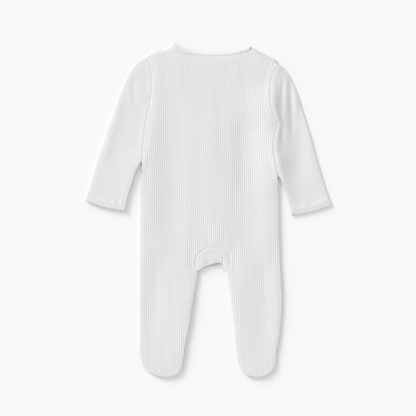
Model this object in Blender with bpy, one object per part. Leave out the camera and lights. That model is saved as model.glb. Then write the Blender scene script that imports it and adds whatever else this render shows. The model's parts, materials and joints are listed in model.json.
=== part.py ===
"""Footed baby sleepsuit in rib-knit cotton, laid flat on its front with its back up.

Every piece that a maker cuts is a closed wall of cloth. The front pieces lie on the floor, the
back and its crotch gusset lie on the front, and each sleeve is a flattened tube. Plans are in
millimetres: +X towards the wearer's right side, +Y towards the neck, +Z up from the floor.
"""
import itertools
import math

import bmesh
import bpy
import numpy as np
from mathutils.geometry import delaunay_2d_cdt

# ---------------------------------------------------------------- driving sizes, in millimetres
MM = 0.001               # metres in a millimetre
CLOTH = 1.3              # wall of the rib knit, measured in the valley between two ribs
GAP = 0.3                # clear space between pieces that are sewn to each other
RIB_PITCH = 3.5          # from one rib to the next, across the hips
RIB_HEIGHT = 0.5         # a rib's crest over its valleys
FACING = 1.0             # wall of the plain strip behind the front closure
HALF_GAP = GAP / 2       # how far each of two pieces keeps from their seam line
UPPER = CLOTH + GAP      # where the upper layer starts
SEAM_TOP = UPPER + CLOTH  # top of the upper layer along a seam
BACK_RISE = 4.6          # top of the back's cloth over the floor, between its folds
SLEEVE_RISE = 4.1        # the same for a sleeve
CUFF_TOP = 3.6           # top of the cloth at a sleeve's open end
WRAP_RISE = 3.3          # top of the front's cloth where it turns over the shoulder
ROLL = 5.0               # how far in from an edge the cloth reaches its full rise
WRAP_ROLL = 3.0          # the same where the front turns over the shoulder
UNDERCUT = 0.9           # how far the flat underside stays inside the outline
FOLDED_EDGE = 1.0        # level of a sleeve's long edges, half way up their fold
RIB_CENTRE = 8.0         # x of the rib that runs down the middle of the back
GUSSET_RISE = 4.2        # top of the gusset's cloth
WRAP_KEEP = 0.6          # how far the turned-over cloth stays from the shoulder seam
WRAP_INSET = 0.06        # how far it stays inside the front's outline
WRAP_FLOOR = 0.6         # where it starts inside the front's wall
SNAP_RADIUS = 5.0
SNAP_COUNT = 7
SNAP_SIDES = 16
SNAP_BEVEL = 0.5
SNAP_INSET = 7.0         # from the closure line to a snap's centre
SNAP_TOP, SNAP_BOTTOM = 213.0, -42.0
PLACKET_HALF = 12.0      # half the width of the strip behind the closure
PLACKET_SHIFT = 1.0      # from the closure line to the strip's middle
PLACKET_LOW = -52.0      # its lower end, above the gusset
PLACKET_DROP = 4.0       # from the front's neck edge to its upper end
BAND_WALL = 1.3          # thickness of the neck band
BAND_LOWER = 0.65        # middle of its run along the fronts
BAND_UPPER = 2.7         # middle of its run along the back
BAND_STEP = 2.0
BAND_SECTION = ((-1.0, -0.5), (-1.0, 0.5), (-0.7, 1.0), (0.6, 1.0), (1.0, 0.4), (1.0, -0.4),
                (0.6, -1.0), (-0.7, -1.0))   # along its width, through its wall
BAND_TURN = (60, 0, -60)  # degrees of its sections where it turns over at a shoulder
KNIT_GREY = 0.83         # colour of the white rib knit, the same in red, green and blue
UNDER_GREY = 0.82        # the same for the pieces that lie below
BINDING_GREY = 0.84
JERSEY_GREY = 0.80
RESIN_GREY = 0.88
KNIT_ROUGHNESS = 0.9
JERSEY_ROUGHNESS = 0.85
RESIN_ROUGHNESS = 0.35

# Spacing of the points that make the surfaces
ROW = 10.0               # along a rib, in the rolled edge
ROWS_APART = 3           # of those rows, the ones kept elsewhere
EDGE_STEP = 14.0         # along a nearly straight edge
LEG_STEP = 7.0           # along a leg and around a foot
SEAM_STEP = 8.0          # along a curved seam
CURVE_STEP = 5.0         # along a tight curve
INNER_STEP = 26.0        # over a plain inner face
RIB_LINES = 2            # lines for each rib: one on its crest, one in its valley
END_ROWS = (1.3, 3.6)    # distances from a rib's end to its last rows
END_CLEAR = 8.0          # the even rows start this far from a rib's end
CLEAR = 0.6              # a rib stops this far from an edge that it runs along
RIB_START = 2.0          # a rib reaches its full height this far from the edge
FAIR_CROSSING = 0.25     # sine of the flattest angle at which a rib line splits an edge
CORNER_CLEAR = 0.3       # no such split closer than this to a corner
DOT_CLEAR = 5.0          # least space between points along the edge of an inner face
GRID_CLEAR = 0.75        # of its step, from the edge to an inner face's even points
MITER_LIMIT = 0.6        # cosine that limits how far a sharp corner moves
CURVE_PARTS = 24         # straight parts between two stations before they are spaced evenly
CDT_MERGE = 1e-5         # points closer than this are one point
SAME = 1e-6              # lengths closer than this are one length
PLACE_DIGITS = 4         # decimals by which a point is found again
SHARP_ANGLE = 25         # degrees between two faces that meet in a sharp edge

# ---------------------------------------------------------------- the cut, as laid
ARMHOLE = (
    # station         left x, left y, right x, right y
    ("shoulder tip", -105.6, 262.8, 119.5, 250.0),
    ("cap",          -101.2, 253.6, 113.2, 241.0),
    ("upper back",    -97.7, 238.0, 108.0, 229.0),
    ("deepest",       -96.2, 217.0, 105.2, 205.0),
    ("lower back",    -99.0, 192.0, 105.8, 180.0),
    ("turn",         -103.2, 172.0, 111.5, 162.0),
    ("underarm",     -106.3, 155.0, 118.0, 147.5),
)
SIDE = (
    # station         left x, left y, right x, right y
    ("underarm",     -106.3, 155.0, 118.0, 147.5),
    ("side fold",    -109.2, 134.0, 112.8, 128.0),
    ("rib cage",     -111.6, 112.0, 110.4, 108.0),
    ("sleeve parts", -112.9,  89.0, 113.2,  88.0),
    ("midriff",      -115.2,  52.0, 118.3,  52.0),
    ("waist",        -117.4,  18.0, 119.6,  18.0),
    ("seat",         -119.2, -50.0, 120.9, -50.0),
    ("hip",          -119.6, -85.0, 122.3, -85.0),
    ("thigh",        -118.9, -153.0, 125.4, -153.0),
    ("calf",         -117.9, -190.0, 123.7, -188.0),
    ("ankle",        -118.8, -226.0, 119.4, -224.0),
    ("heel",         -118.9, -242.0, 115.8, -242.0),
    ("sole",         -117.3, -254.0, 115.3, -254.0),
    ("ball",         -110.8, -267.2, 113.0, -267.2),
    ("toe side",      -98.8, -277.4, 105.8, -277.2),
    ("toe corner",    -86.0, -283.0, 95.0, -283.4),
    ("toe",           -72.0, -285.0, 82.5, -285.0),
)
INSEAM = (
    # station         left x, left y, right x, right y
    ("toe",           -72.0, -285.0, 82.5, -285.0),
    ("toe corner",    -60.3, -283.2, 70.5, -283.0),
    ("toe side",      -50.8, -278.4, 60.5, -277.6),
    ("ball",          -45.0, -268.0, 53.2, -267.5),
    ("sole",          -42.6, -253.0, 48.0, -252.0),
    ("ankle",         -40.4, -234.0, 45.7, -234.0),
    ("calf",          -32.4, -196.0, 42.2, -196.0),
    ("thigh",         -25.2, -146.0, 36.6, -146.0),
    ("crotch",        -18.0, -104.0, 30.6, -105.0),
)
GUSSET_SEAM = (
    # station          x,      y
    ("left foot",   -18.0, -104.0),
    ("left side",   -22.6,  -88.5),
    ("left turn",   -18.5,  -76.5),
    ("left crown",   -6.5,  -66.0),
    ("crown",         5.5,  -63.2),
    ("right crown",  20.0,  -65.6),
    ("right turn",   33.6,  -73.5),
    ("right side",   36.8,  -88.0),
    ("right foot",   30.6, -105.0),
)
GUSSET_EDGE = (
    # station          x,      y
    ("left foot",   -18.0, -104.0),
    ("left",         -8.0,  -97.4),
    ("middle",        6.0,  -92.2),
    ("right",        21.0,  -90.6),
    ("right foot",   30.6, -105.0),
)
FRONT_CROTCH = (
    # station          x,      y
    ("left foot",   -18.0, -104.0),
    ("left",         -8.0,  -98.6),
    ("middle",        8.0,  -94.4),
    ("right",        20.0,  -97.9),
    ("right foot",   30.6, -105.0),
)
SHOULDER_SEAM_LEFT = (
    # station          x,      y
    ("tip",        -105.6,  262.8),
    ("over edge",   -96.0,  269.3),
    ("wrap starts", -82.0,  273.2),
    ("dip",         -71.0,  269.6),
    ("neck",        -44.2,  267.9),
)
SHOULDER_SEAM_RIGHT = (
    # station          x,      y
    ("tip",         119.5,  250.0),
    ("outer",       111.0,  253.4),
    ("middle",       97.0,  260.6),
    ("inner",        82.0,  266.6),
    ("neck",         68.6,  271.0),
)
SHOULDER_FOLD_LEFT = (
    # station          x,      y    from the neck to the tip; the wrap is the first three
    ("neck",        -61.1,  284.2),
    ("rise",        -71.0,  278.4),
    ("wrap starts", -80.2,  274.6),
    ("over edge",   -96.0,  269.3),
    ("tip",        -105.6,  262.8),
)
SHOULDER_FOLD_RIGHT = (
    # station          x,      y    from the neck to the tip; the wrap is the first five
    ("neck",         72.6,  279.3),
    ("inner",        84.5,  273.0),
    ("middle",       98.5,  265.2),
    ("outer",       114.0,  257.6),
    ("wrap starts", 118.0,  253.2),
    ("tip",         119.5,  250.0),
)
NECK_CORNER = (
    # station         left x, left y, right x, right y   where a front passes round the band's turn
    ("below turn",    -61.1, 279.0,  72.6, 272.2),
)
NECK_BAND_BACK = (
    # station          x, upper y, lower y
    ("left fold",   -58.6,  284.85, 279.6),
    ("left turn",   -52.6,  280.6,  273.4),
    ("left",        -44.0,  276.4,  268.4),
    ("left rise",   -30.0,  272.0,  266.2),
    ("left dip",    -15.0,  268.6,  264.9),
    ("middle",        9.0,  266.6,  264.0),
    ("right dip",    33.0,  268.4,  265.2),
    ("right rise",   45.0,  271.4,  266.5),
    ("right",        56.0,  274.9,  268.3),
    ("right turn",   65.0,  278.2,  270.6),
    ("right fold",   70.0,  279.8,  272.9),
)
NECK_BAND_FRONT = (
    # station          x, upper y, lower y
    ("left fold",   -58.6,  284.2,  279.6),
    ("left turn",   -52.6,  280.0,  274.0),
    ("left",        -43.6,  275.4,  268.6),
    ("left slope",  -36.0,  266.0,  254.5),
    ("left dip",    -20.0,  247.5,  238.5),
    ("middle",        7.0,  236.0,  229.0),
    ("right dip",    34.0,  247.0,  238.0),
    ("right slope",  50.5,  264.0,  252.5),
    ("right",        61.0,  275.0,  265.0),
    ("right fold",   70.0,  279.4,  272.9),
)
SLEEVE_OUTER = (
    # station         left x, left y, right x, right y
    ("shoulder tip", -105.6, 262.8, 119.5, 250.0),
    ("cap",          -112.0, 260.4, 124.8, 247.6),
    ("cap turn",     -129.6, 244.0, 137.4, 230.6),
    ("upper arm",    -142.0, 220.0, 149.0, 205.0),
    ("elbow",        -165.0, 161.5, 169.4, 143.0),
    ("forearm",      -186.0, 98.0,  187.6, 77.5),
    ("wrist",        -203.0, 42.5,  203.0, 28.0),
    ("cuff",         -210.5, 17.5,  210.5, 10.3),
)
CUFF = (
    # station         left x, left y, right x, right y
    ("outer",        -210.5, 17.5,  210.5, 10.3),
    ("quarter",      -193.0, 10.2,  193.0, 4.6),
    ("middle",       -172.0, 4.2,   173.4, -1.2),
    ("inner",        -143.0, -0.4,  141.8, -7.6),
)
SLEEVE_INNER = (
    # station         left x, left y, right x, right y
    ("cuff",         -143.0, -0.4,  141.8, -7.6),
    ("wrist",        -139.0, 20.5,  136.6, 12.8),
    ("forearm",      -131.0, 46.5,  128.6, 39.5),
    ("elbow",        -123.4, 68.5,  119.4, 61.5),
    ("sleeve parts", -112.9, 89.0,  113.2, 88.0),
)
CLOSURE = (
    # station          x,      y    the line where the two fronts meet
    ("neck",          7.0,  229.0),
    ("crotch",        8.0,  -94.4),
)
ANKLE = (
    # station         left x, left y, right x, right y
    ("outer",       -118.8, -226.0, 119.4, -224.0),
    ("inner",        -40.4, -234.0, 45.7, -234.0),
)

# Largest folds: a soft ridge (+) or trough (-) along a line
BACK_FOLDS = (
    # name                x1,   y1,    x2,   y2, half width, height
    ("left side",       -103,  178,  -107,  -68, 13.0,  0.8),
    ("left waist",       -72,  110,   -84,  -80, 22.0, -0.5),
    ("right waist",       66,  170,    60,  -70, 20.0, -0.8),
    ("right side",       104,  165,   111,  -50, 12.0,  0.6),
    ("left thigh",       -97,  -94,  -112, -212, 10.0, -0.8),
    ("left shin",        -46, -120,   -74, -228, 14.0,  0.6),
    ("right inseam",      50, -110,    56, -205, 10.0,  0.5),
    ("right shin",        82,  -95,    92, -228, 13.0, -0.6),
    ("right outseam",    113, -128,   108, -228,  9.0,  0.6),
    ("left gusset",      -30,  -60,   -26, -106,  7.0, -0.5),
    ("right gusset",      42,  -50,    41, -104,  8.0, -0.5),
)
LEFT_SLEEVE_FOLDS = (
    # name                x1,   y1,    x2,   y2, half width, height
    ("beside body",     -110,  190,  -120,   92,  9.0,  0.7),
    ("cap dimple",      -130,  215,  -124,  162,  7.0, -0.7),
    ("outer arm",       -158,  150,  -190,   50, 12.0, -0.4),
)
RIGHT_SLEEVE_FOLDS = (
    # name                x1,   y1,    x2,   y2, half width, height
    ("beside body",      119,  190,   120,   80,  8.0,  1.3),
    ("cap ridge",        133,  222,   134,  186,  4.0,  0.7),
    ("armhole crease",   118,  226,   119,  158,  4.0, -0.8),
    ("long trough",      143,  175,   153,   35, 12.0, -0.8),
    ("outer arm",        170,  110,   186,   30, 12.0,  0.5),
)

LEFT, RIGHT = 1, 3       # columns of a table that holds both sides
SHARED_ROWS = 4          # rows of SIDE along which a sleeve lies beside the body
SIDE_ANKLE, INSEAM_ANKLE = 10, 5   # rows of the ankle


# ---------------------------------------------------------------- curves and outlines
def side_points(table, column):
    """Stations of one side of a table with both sides in it."""
    return [(row[column], row[column + 1]) for row in table]


def plain_points(table):
    """Stations of a table with one line in it."""
    return [(row[1], row[2]) for row in table]


def smooth(points, step):
    """Points about a step apart along a smooth curve through the given ones."""
    stations = np.array(points, float)
    if len(stations) == 2:
        count = max(1, round(float(np.linalg.norm(stations[1] - stations[0])) / step))
        share = np.linspace(0.0, 1.0, count + 1)[:, None]
        return stations[0] * (1 - share) + stations[1] * share
    before = 2 * stations[0] - stations[1]
    after = 2 * stations[-1] - stations[-2]
    padded = np.vstack([before, stations, after])
    dense = []
    for k in range(1, len(padded) - 2):
        p0, p1, p2, p3 = padded[k - 1:k + 3]
        chord = float(np.linalg.norm(p2 - p1))
        slope_1 = (p2 - p0) * chord / (chord + float(np.linalg.norm(p1 - p0)))
        slope_2 = (p3 - p1) * chord / (chord + float(np.linalg.norm(p3 - p2)))
        for share in np.linspace(0.0, 1.0, CURVE_PARTS, endpoint=False):
            s2, s3 = share ** 2, share ** 3
            dense.append((2 * s3 - 3 * s2 + 1) * p1 + (s3 - 2 * s2 + share) * slope_1
                         + (3 * s2 - 2 * s3) * p2 + (s3 - s2) * slope_2)
    dense.append(stations[-1])
    dense = np.array(dense)
    length = np.concatenate([[0.0], np.cumsum(np.linalg.norm(np.diff(dense, axis=0), axis=1))])
    count = max(1, round(length[-1] / step))
    wanted = np.linspace(0.0, length[-1], count + 1)
    return np.column_stack([np.interp(wanted, length, dense[:, k]) for k in (0, 1)])


class Outline:
    """A closed plan, walked with the cloth on its left, and the level of the cloth along it."""

    def __init__(self, plan, level, kind, free, key, base):
        self.plan = np.array(plan)
        self.level = np.array(level)
        self.kind = kind                # of the stretch that starts at each corner
        self.free = np.array(free)      # whether that stretch lies beside no other piece
        self.key = np.array(key)        # each point's place, counted in corners
        self.base = np.array(base)      # each corner's point

    def moved_in(self, distance):
        """The points, each moved its own distance into the cloth."""
        before = np.roll(self.plan, 1, axis=0)
        after = np.roll(self.plan, -1, axis=0)
        first = unit(self.plan - before)
        second = unit(after - self.plan)
        normal = unit(np.column_stack([-(first + second)[:, 1], (first + second)[:, 0]]))
        cosine = normal[:, 0] * -first[:, 1] + normal[:, 1] * first[:, 0]
        return self.plan + normal * (distance / np.clip(cosine, MITER_LIMIT, 1.0))[:, None]

    def crossed(self, cloth, pitch):
        """The outline with a point wherever a rib line crosses it at a fair angle."""
        plan, level, key, base = [], [], [], []
        across, along = cloth.unroll(self.plan)
        count = len(self.plan)
        for i in range(count):
            j = (i + 1) % count
            base.append(len(plan))
            plan.append(self.plan[i])
            level.append(self.level[i])
            key.append(float(i))
            width = across[j] - across[i]
            size = math.hypot(width, along[j] - along[i])
            if abs(width) < FAIR_CROSSING * size:
                continue
            low, high = sorted((across[i], across[j]))
            lines = range(math.ceil(low / pitch), math.floor(high / pitch) + 1)
            for share in sorted((k * pitch - across[i]) / width for k in lines):
                if CORNER_CLEAR < share * size < size - CORNER_CLEAR:
                    at = (across[i] + share * width, along[i] + share * (along[j] - along[i]))
                    plan.append(cloth.lay(*at))
                    level.append(self.level[i] + share * (self.level[j] - self.level[i]))
                    key.append(i + share)
        return Outline(plan, level, self.kind, self.free, key, base)

    def reach(self, points):
        """For each point, its distance to the outline and the level of the nearest stretch."""
        start = self.plan
        step = np.roll(start, -1, axis=0) - start
        level_step = np.roll(self.level, -1) - self.level
        size = np.maximum((step ** 2).sum(axis=1), SAME ** 2)
        offset = points[:, None, :] - start[None]
        share = np.clip((offset * step[None]).sum(axis=2) / size, 0.0, 1.0)
        gap = np.linalg.norm(offset - share[..., None] * step[None], axis=2)
        nearest = gap.argmin(axis=1)
        rows = np.arange(len(points))
        return gap[rows, nearest], (self.level + share * level_step)[rows, nearest]

    def holds(self, points):
        """Which points lie inside the outline."""
        start = self.plan
        end = np.roll(start, -1, axis=0)
        x, y = points[:, 0, None], points[:, 1, None]
        crosses = (start[None, :, 1] > y) != (end[None, :, 1] > y)
        rise = np.where(end[:, 1] == start[:, 1], 1.0, end[:, 1] - start[:, 1])
        at = start[None, :, 0] + (y - start[None, :, 1]) * (end[:, 0] - start[:, 0])[None] / rise
        return (crosses & (x < at)).sum(axis=1) % 2 == 1


def unit(vectors):
    """Vectors brought to length one."""
    return vectors / np.maximum(np.linalg.norm(vectors, axis=1), SAME)[:, None]


def outlined(runs):
    """An outline of runs: each is its points, level, kind and how far it keeps from its line."""
    plan, level, kind, keep = [], [], [], []
    for points, run_level, run_kind, run_keep in runs:
        for point in points[:-1]:
            plan.append(point)
            level.append(run_level)
            kind.append(run_kind)
            keep.append(run_keep)
    keep = np.array(keep)
    corners = np.arange(len(plan))
    outline = Outline(plan, level, kind, keep == 0, corners.astype(float), corners)
    outline.plan = outline.moved_in(keep)
    return outline


# ---------------------------------------------------------------- how the ribs run
class BodyCloth:
    """The body's ribs run down it, fan out a little over the chest and again over the feet."""

    chest_low, chest_high, chest_fan = 60.0, 270.0, 0.06
    ankle, toes, foot_fan = -215.0, -285.0, 0.08
    leg_centre = 79.0

    def fan(self, x, y):
        """How much wider than at the hips the ribs stand, and about which x."""
        chest = np.clip((y - self.chest_low) / (self.chest_high - self.chest_low), 0, 1)
        foot = np.clip((self.ankle - y) / (self.ankle - self.toes), 0, 1)
        about = np.where(y > 0, RIB_CENTRE, np.where(x > 0, self.leg_centre, -self.leg_centre))
        return 1 + self.chest_fan * chest + self.foot_fan * foot, about

    def unroll(self, points):
        """Across and along the ribs for points of the plan."""
        x, y = points[:, 0], points[:, 1]
        width, about = self.fan(x, y)
        return about + (x - about) / width - RIB_CENTRE, y

    def lay(self, across, along):
        """The point of the plan at a place across and along the ribs."""
        x = across + RIB_CENTRE
        width, about = self.fan(np.float64(x), np.float64(along))
        return float(about + (x - about) * width), float(along)


class SleeveCloth:
    """A sleeve's ribs run straight from its cap to its cuff."""

    def __init__(self, top, end):
        self.top = np.array(top)
        down = np.array(end) - self.top
        self.down = down / np.linalg.norm(down)
        self.out = np.array((self.down[1], -self.down[0]))

    def unroll(self, points):
        """Across and along the ribs for points of the plan."""
        offset = points - self.top
        return offset @ self.out, offset @ self.down

    def lay(self, across, along):
        """The point of the plan at a place across and along the ribs."""
        point = self.top + across * self.out + along * self.down
        return float(point[0]), float(point[1])


def fold_height(points, folds):
    """Height that the folds add at each point."""
    total = np.zeros(len(points))
    for _name, x1, y1, x2, y2, half_width, height in folds:
        start = np.array((x1, y1), float)
        run = np.array((x2, y2), float) - start
        share = np.clip(((points - start) @ run) / (run @ run), 0.0, 1.0)
        gap = np.linalg.norm(points - start - share[:, None] * run, axis=1)
        total += height * np.exp(-(gap / half_width) ** 2)
    return total


def rolled_height(points, outline, rise, folds, roll_width=ROLL):
    """Height of the cloth without its ribs: it rolls up from its edge to its full rise."""
    gap, level = outline.reach(points)
    share = np.clip(gap / roll_width, 0.0, 1.0)
    roll = np.sqrt(1 - (1 - share) ** 2)
    return level + (rise + fold_height(points, folds) * share - level) * roll


# ---------------------------------------------------------------- meshes
class Wall:
    """Points and triangles of one piece."""

    def __init__(self):
        self.points = []
        self.faces = []

    def add(self, plan, height):
        """Adds points of the plan at their heights, and returns their numbers."""
        first = len(self.points)
        heights = np.broadcast_to(height, len(plan))
        self.points.extend((p[0], p[1], h) for p, h in zip(plan, heights))
        return np.arange(first, len(self.points))

    def sheet(self, edge, lines=(), holes=()):
        """Fills the closed row of points named by edge, with lines and holes inside it."""
        rows = [list(line) for line in lines] + [list(hole) + [hole[0]] for hole in holes]
        numbers = list(edge)
        where = {number: k for k, number in enumerate(numbers)}
        for number in (n for row in rows for n in row):
            if number not in where:
                where[number] = len(numbers)
                numbers.append(number)
        links = [(where[a], where[b]) for row in rows for a, b in zip(row[:-1], row[1:])]
        flat = [(self.points[n][0], self.points[n][1]) for n in numbers]
        result = delaunay_2d_cdt(flat, links, [list(range(len(edge)))], 1, CDT_MERGE)
        if len(result[0]) != len(flat):
            raise ValueError("lines of a sheet cross each other")
        origin = [ids[0] for ids in result[3]]
        cut = [np.array([self.points[n][:2] for n in hole]) for hole in holes]
        for face in result[2]:
            corners = [numbers[origin[k]] for k in face]
            middle = np.mean([self.points[n][:2] for n in corners], axis=0)
            if not any(in_polygon(middle, hole) for hole in cut):
                self.faces.append(tuple(corners))

    def strip(self, first, second, first_key, second_key):
        """Joins two rows of points, walking both in step with their keys."""
        i = j = 0
        while i < len(first) - 1 or j < len(second) - 1:
            if j == len(second) - 1 or (i < len(first) - 1 and first_key[i + 1] <= second_key[j + 1]):
                self.faces.append((first[i], first[i + 1], second[j]))
                i += 1
            else:
                self.faces.append((first[i], second[j + 1], second[j]))
                j += 1

    def ring(self, first, second, first_key, second_key, turns):
        """Joins two closed rows of points."""
        self.strip(list(first) + [first[0]], list(second) + [second[0]],
                   list(first_key) + [turns], list(second_key) + [turns])

    def build(self, name, material):
        """Makes the object, with its faces pointing out."""
        mesh = bpy.data.meshes.new(name)
        mesh.from_pydata([tuple(c * MM for c in p) for p in self.points], [], self.faces)
        work = bmesh.new()
        work.from_mesh(mesh)
        loose = [vert for vert in work.verts if not vert.link_faces]
        bmesh.ops.delete(work, geom=loose, context="VERTS")
        bmesh.ops.recalc_face_normals(work, faces=work.faces)
        if work.calc_volume(signed=True) < 0:
            bmesh.ops.reverse_faces(work, faces=work.faces)
        work.to_mesh(mesh)
        work.free()
        mesh.materials.append(material)
        mesh.shade_smooth()
        mesh.set_sharp_from_angle(angle=math.radians(SHARP_ANGLE))
        item = bpy.data.objects.new(name, mesh)
        bpy.context.scene.collection.objects.link(item)
        return item


def in_polygon(point, corners):
    """Whether a point lies inside a closed row of corners."""
    inside = False
    for a, b in zip(corners, np.roll(corners, -1, axis=0)):
        if (a[1] > point[1]) != (b[1] > point[1]):
            if point[0] < a[0] + (point[1] - a[1]) * (b[0] - a[0]) / (b[1] - a[1]):
                inside = not inside
    return inside


def rib_runs(outline, cloth, pitch):
    """Each stretch of a rib line inside the outline: its number, place across, and both ends."""
    across, along = cloth.unroll(outline.plan)
    across_next, along_next = np.roll(across, -1), np.roll(along, -1)
    for number in range(math.ceil(across.min() / pitch), math.floor(across.max() / pitch) + 1):
        line = number * pitch
        cut = (across > line + SAME) != (across_next > line + SAME)
        share = (line - across[cut]) / (across_next[cut] - across[cut])
        ends = sorted(along[cut] + share * (along_next[cut] - along[cut]))
        for low, high in zip(ends[::2], ends[1::2]):
            yield number, line, low, high


def rib_stations(outline, cloth, line, low, high):
    """Places along a rib line: two near each end, then even rows, closer in the rolled edge."""
    middle = (low + high) / 2
    near = [low + d for d in END_ROWS if low + d < middle]
    far = [high - d for d in reversed(END_ROWS) if high - d > middle]
    first, last = math.ceil((low + END_CLEAR) / ROW), math.floor((high - END_CLEAR) / ROW)
    rows = np.arange(first, last + 1)
    if len(rows):
        plan = np.array([cloth.lay(line, row * ROW) for row in rows])
        rows = rows[(rows % ROWS_APART == 0) | (outline.reach(plan)[0] < ROLL)]
    return near + list(rows * ROW) + far


def rib_lines(wall, outline, edge, cloth, pitch, height):
    """Lines of points on the crests and valleys of the ribs, each ending on the outline."""
    named = {place(point): number for point, number in zip(outline.plan, edge)}
    rows = []
    for number, line, low, high in rib_runs(outline, cloth, pitch):
        chain = [named.get(place(cloth.lay(line, low)))]
        stations = rib_stations(outline, cloth, line, low, high)
        if stations:
            plan = np.array([cloth.lay(line, station) for station in stations])
            gap = outline.reach(plan)[0]
            tops = height(plan)
            if number % RIB_LINES == 0:
                tops += RIB_HEIGHT * np.clip(gap / RIB_START, 0.0, 1.0)
            chain += [wall.add([point], top)[0] if clear else None
                      for point, top, clear in zip(plan, tops, gap > CLEAR)]
        chain.append(named.get(place(cloth.lay(line, high))))
        rows += [list(group) for there, group in itertools.groupby(chain, is_there) if there]
    return rows


def is_there(number):
    """Whether a line has a point here."""
    return number is not None


def place(point):
    """A point rounded, to find it again."""
    return round(float(point[0]), PLACE_DIGITS), round(float(point[1]), PLACE_DIGITS)


def inner_points(outline, spacing):
    """Points over a plain inner face: a row along its edge, then an even grid."""
    ring = outline.moved_in(np.full(len(outline.plan), ROLL + CLOTH))
    low, high = outline.plan.min(axis=0), outline.plan.max(axis=0)
    xs = np.arange(low[0] + spacing / 2, high[0], spacing)
    ys = np.arange(low[1] + spacing / 2, high[1], spacing)
    grid = np.array([(x, y) for x in xs for y in ys])
    grid = grid[(outline.reach(grid)[0] > spacing * GRID_CLEAR) & outline.holds(grid)]
    ring = ring[(outline.reach(ring)[0] > ROLL) & outline.holds(ring)]
    kept = []
    for point in ring:
        if all(math.dist(point, other) > DOT_CLEAR for other in kept):
            kept.append(point)
    return np.vstack([np.array(kept).reshape(-1, 2), grid])


def tray(name, outline, cloth, rise, folds, material):
    """A ribbed upper layer: it rolls down at its edges and is plain and hollow underneath."""
    wall = Wall()
    pitch = RIB_PITCH / RIB_LINES
    dense = outline.crossed(cloth, pitch)
    edge = wall.add(dense.plan, dense.level)

    def height(points):
        return rolled_height(points, outline, rise, folds)

    wall.sheet(edge, rib_lines(wall, dense, edge, cloth, pitch, height))
    rolled = (SEAM_TOP - outline.level) / (SEAM_TOP - UPPER)
    inner_plan = outline.moved_in(rolled * CLOTH)
    inner = wall.add(inner_plan, UPPER)
    inside = inner_points(outline, INNER_STEP)
    dots = wall.add(inside, height(inside) - CLOTH)
    wall.sheet(inner, [[dot] for dot in dots])
    wall.ring(edge, inner, dense.key, outline.key, len(outline.plan))
    return wall.build(name, material)


def plate(name, outline, material, low=0.0, holes=(), cloth=None, rise=0.0):
    """A layer that is flat underneath, ribbed on top if its cloth is given, with round holes."""
    wall = Wall()
    top, ribs = outline, []
    if cloth:
        top = outline.crossed(cloth, RIB_PITCH / RIB_LINES)
    edge = wall.add(top.plan, top.level)
    if cloth:
        def height(points):
            return rolled_height(points, outline, rise, (), WRAP_ROLL)

        ribs = rib_lines(wall, top, edge, cloth, RIB_PITCH / RIB_LINES, height)
    inset = np.array([UNDERCUT if kind == "edge" and low == 0.0 else 0.0 for kind in outline.kind])
    under = wall.add(outline.moved_in(inset), low)
    top_holes, low_holes = [], []
    turn = np.arange(SNAP_SIDES) * 2 * math.pi / SNAP_SIDES
    for x, y, radius in holes:
        circle = np.column_stack([x + radius * np.cos(turn), y + radius * np.sin(turn)])
        top_holes.append(list(wall.add(circle, CLOTH)))
        low_holes.append(list(wall.add(circle, low)))
        wall.ring(top_holes[-1], low_holes[-1], turn, turn, 2 * math.pi)
    wall.sheet(edge, ribs, top_holes)
    wall.sheet(under, (), low_holes)
    wall.ring(edge, under, top.key, outline.key, len(outline.plan))
    return wall.build(name, material)


def tube(name, outline, cloth, rise, folds, material):
    """A flattened tube: ribbed above, flat below, hollow between, and open at its ends."""
    wall = Wall()
    pitch = RIB_PITCH / RIB_LINES
    dense = outline.crossed(cloth, pitch)
    edge = wall.add(dense.plan, dense.level)

    def height(points):
        return rolled_height(points, outline, rise, folds)

    wall.sheet(edge, rib_lines(wall, dense, edge, cloth, pitch, height))
    count = len(outline.plan)
    is_end = np.array([kind == "end" and outline.kind[i - 1] == "end"
                       for i, kind in enumerate(outline.kind)])
    under = wall.add(outline.moved_in(np.where(is_end | ~outline.free, 0.0, UNDERCUT)), 0.0)
    wall.sheet(under)
    inner_plan = outline.moved_in(np.where(is_end, 0.0, CLOTH))
    inner_low = wall.add(inner_plan, CLOTH)
    wall.sheet(inner_low)
    raised = wall.add(inner_plan, outline.level - CLOTH)
    inner_high = np.where(is_end, raised, inner_low)
    inside = inner_points(outline, INNER_STEP)
    dots = wall.add(inside, height(inside) - CLOTH)
    wall.sheet(inner_high, [[dot] for dot in dots])
    for kind, first, last in stretches(outline.kind):
        keys = np.array([k % count for k in range(first, last + 1)])
        upper, upper_key = stretch_of(dense, edge, first, last, count)
        base_key = np.arange(first, last + 1, dtype=float)
        if kind == "end":
            wall.strip(upper, inner_high[keys], upper_key, base_key)
            wall.strip(inner_low[keys], under[keys], base_key, base_key)
            for corner in (keys[0], keys[-1]):
                wall.faces.append((edge[dense.base[corner]], inner_low[corner], under[corner]))
        else:
            wall.strip(upper, under[keys], upper_key, base_key)
    return wall.build(name, material)


def stretches(kinds):
    """Runs of one kind around an outline that starts with an end: kind, first and last corner."""
    found, first = [], 0
    for k in range(1, len(kinds) + 1):
        if k == len(kinds) or kinds[k] != kinds[first]:
            found.append((kinds[first], first, k))
            first = k
    return found


def stretch_of(dense, edge, first, last, count):
    """Numbers and keys of the upper points from one corner to another."""
    picked = [k for k in range(len(edge)) if first <= dense.key[k] <= last]
    numbers, keys = [edge[k] for k in picked], [dense.key[k] for k in picked]
    if last == count:
        numbers.append(edge[0])
        keys.append(float(count))
    return numbers, keys


# ---------------------------------------------------------------- materials
def white(name, grey, roughness):
    """A white cloth or resin: every piece has one of its own."""
    material = bpy.data.materials.new(name)
    material.use_nodes = True
    shader = material.node_tree.nodes["Principled BSDF"]
    shader.inputs["Base Color"].default_value = (grey, grey, grey, 1.0)
    shader.inputs["Roughness"].default_value = roughness
    shader.inputs["Metallic"].default_value = 0.0
    return material


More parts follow.
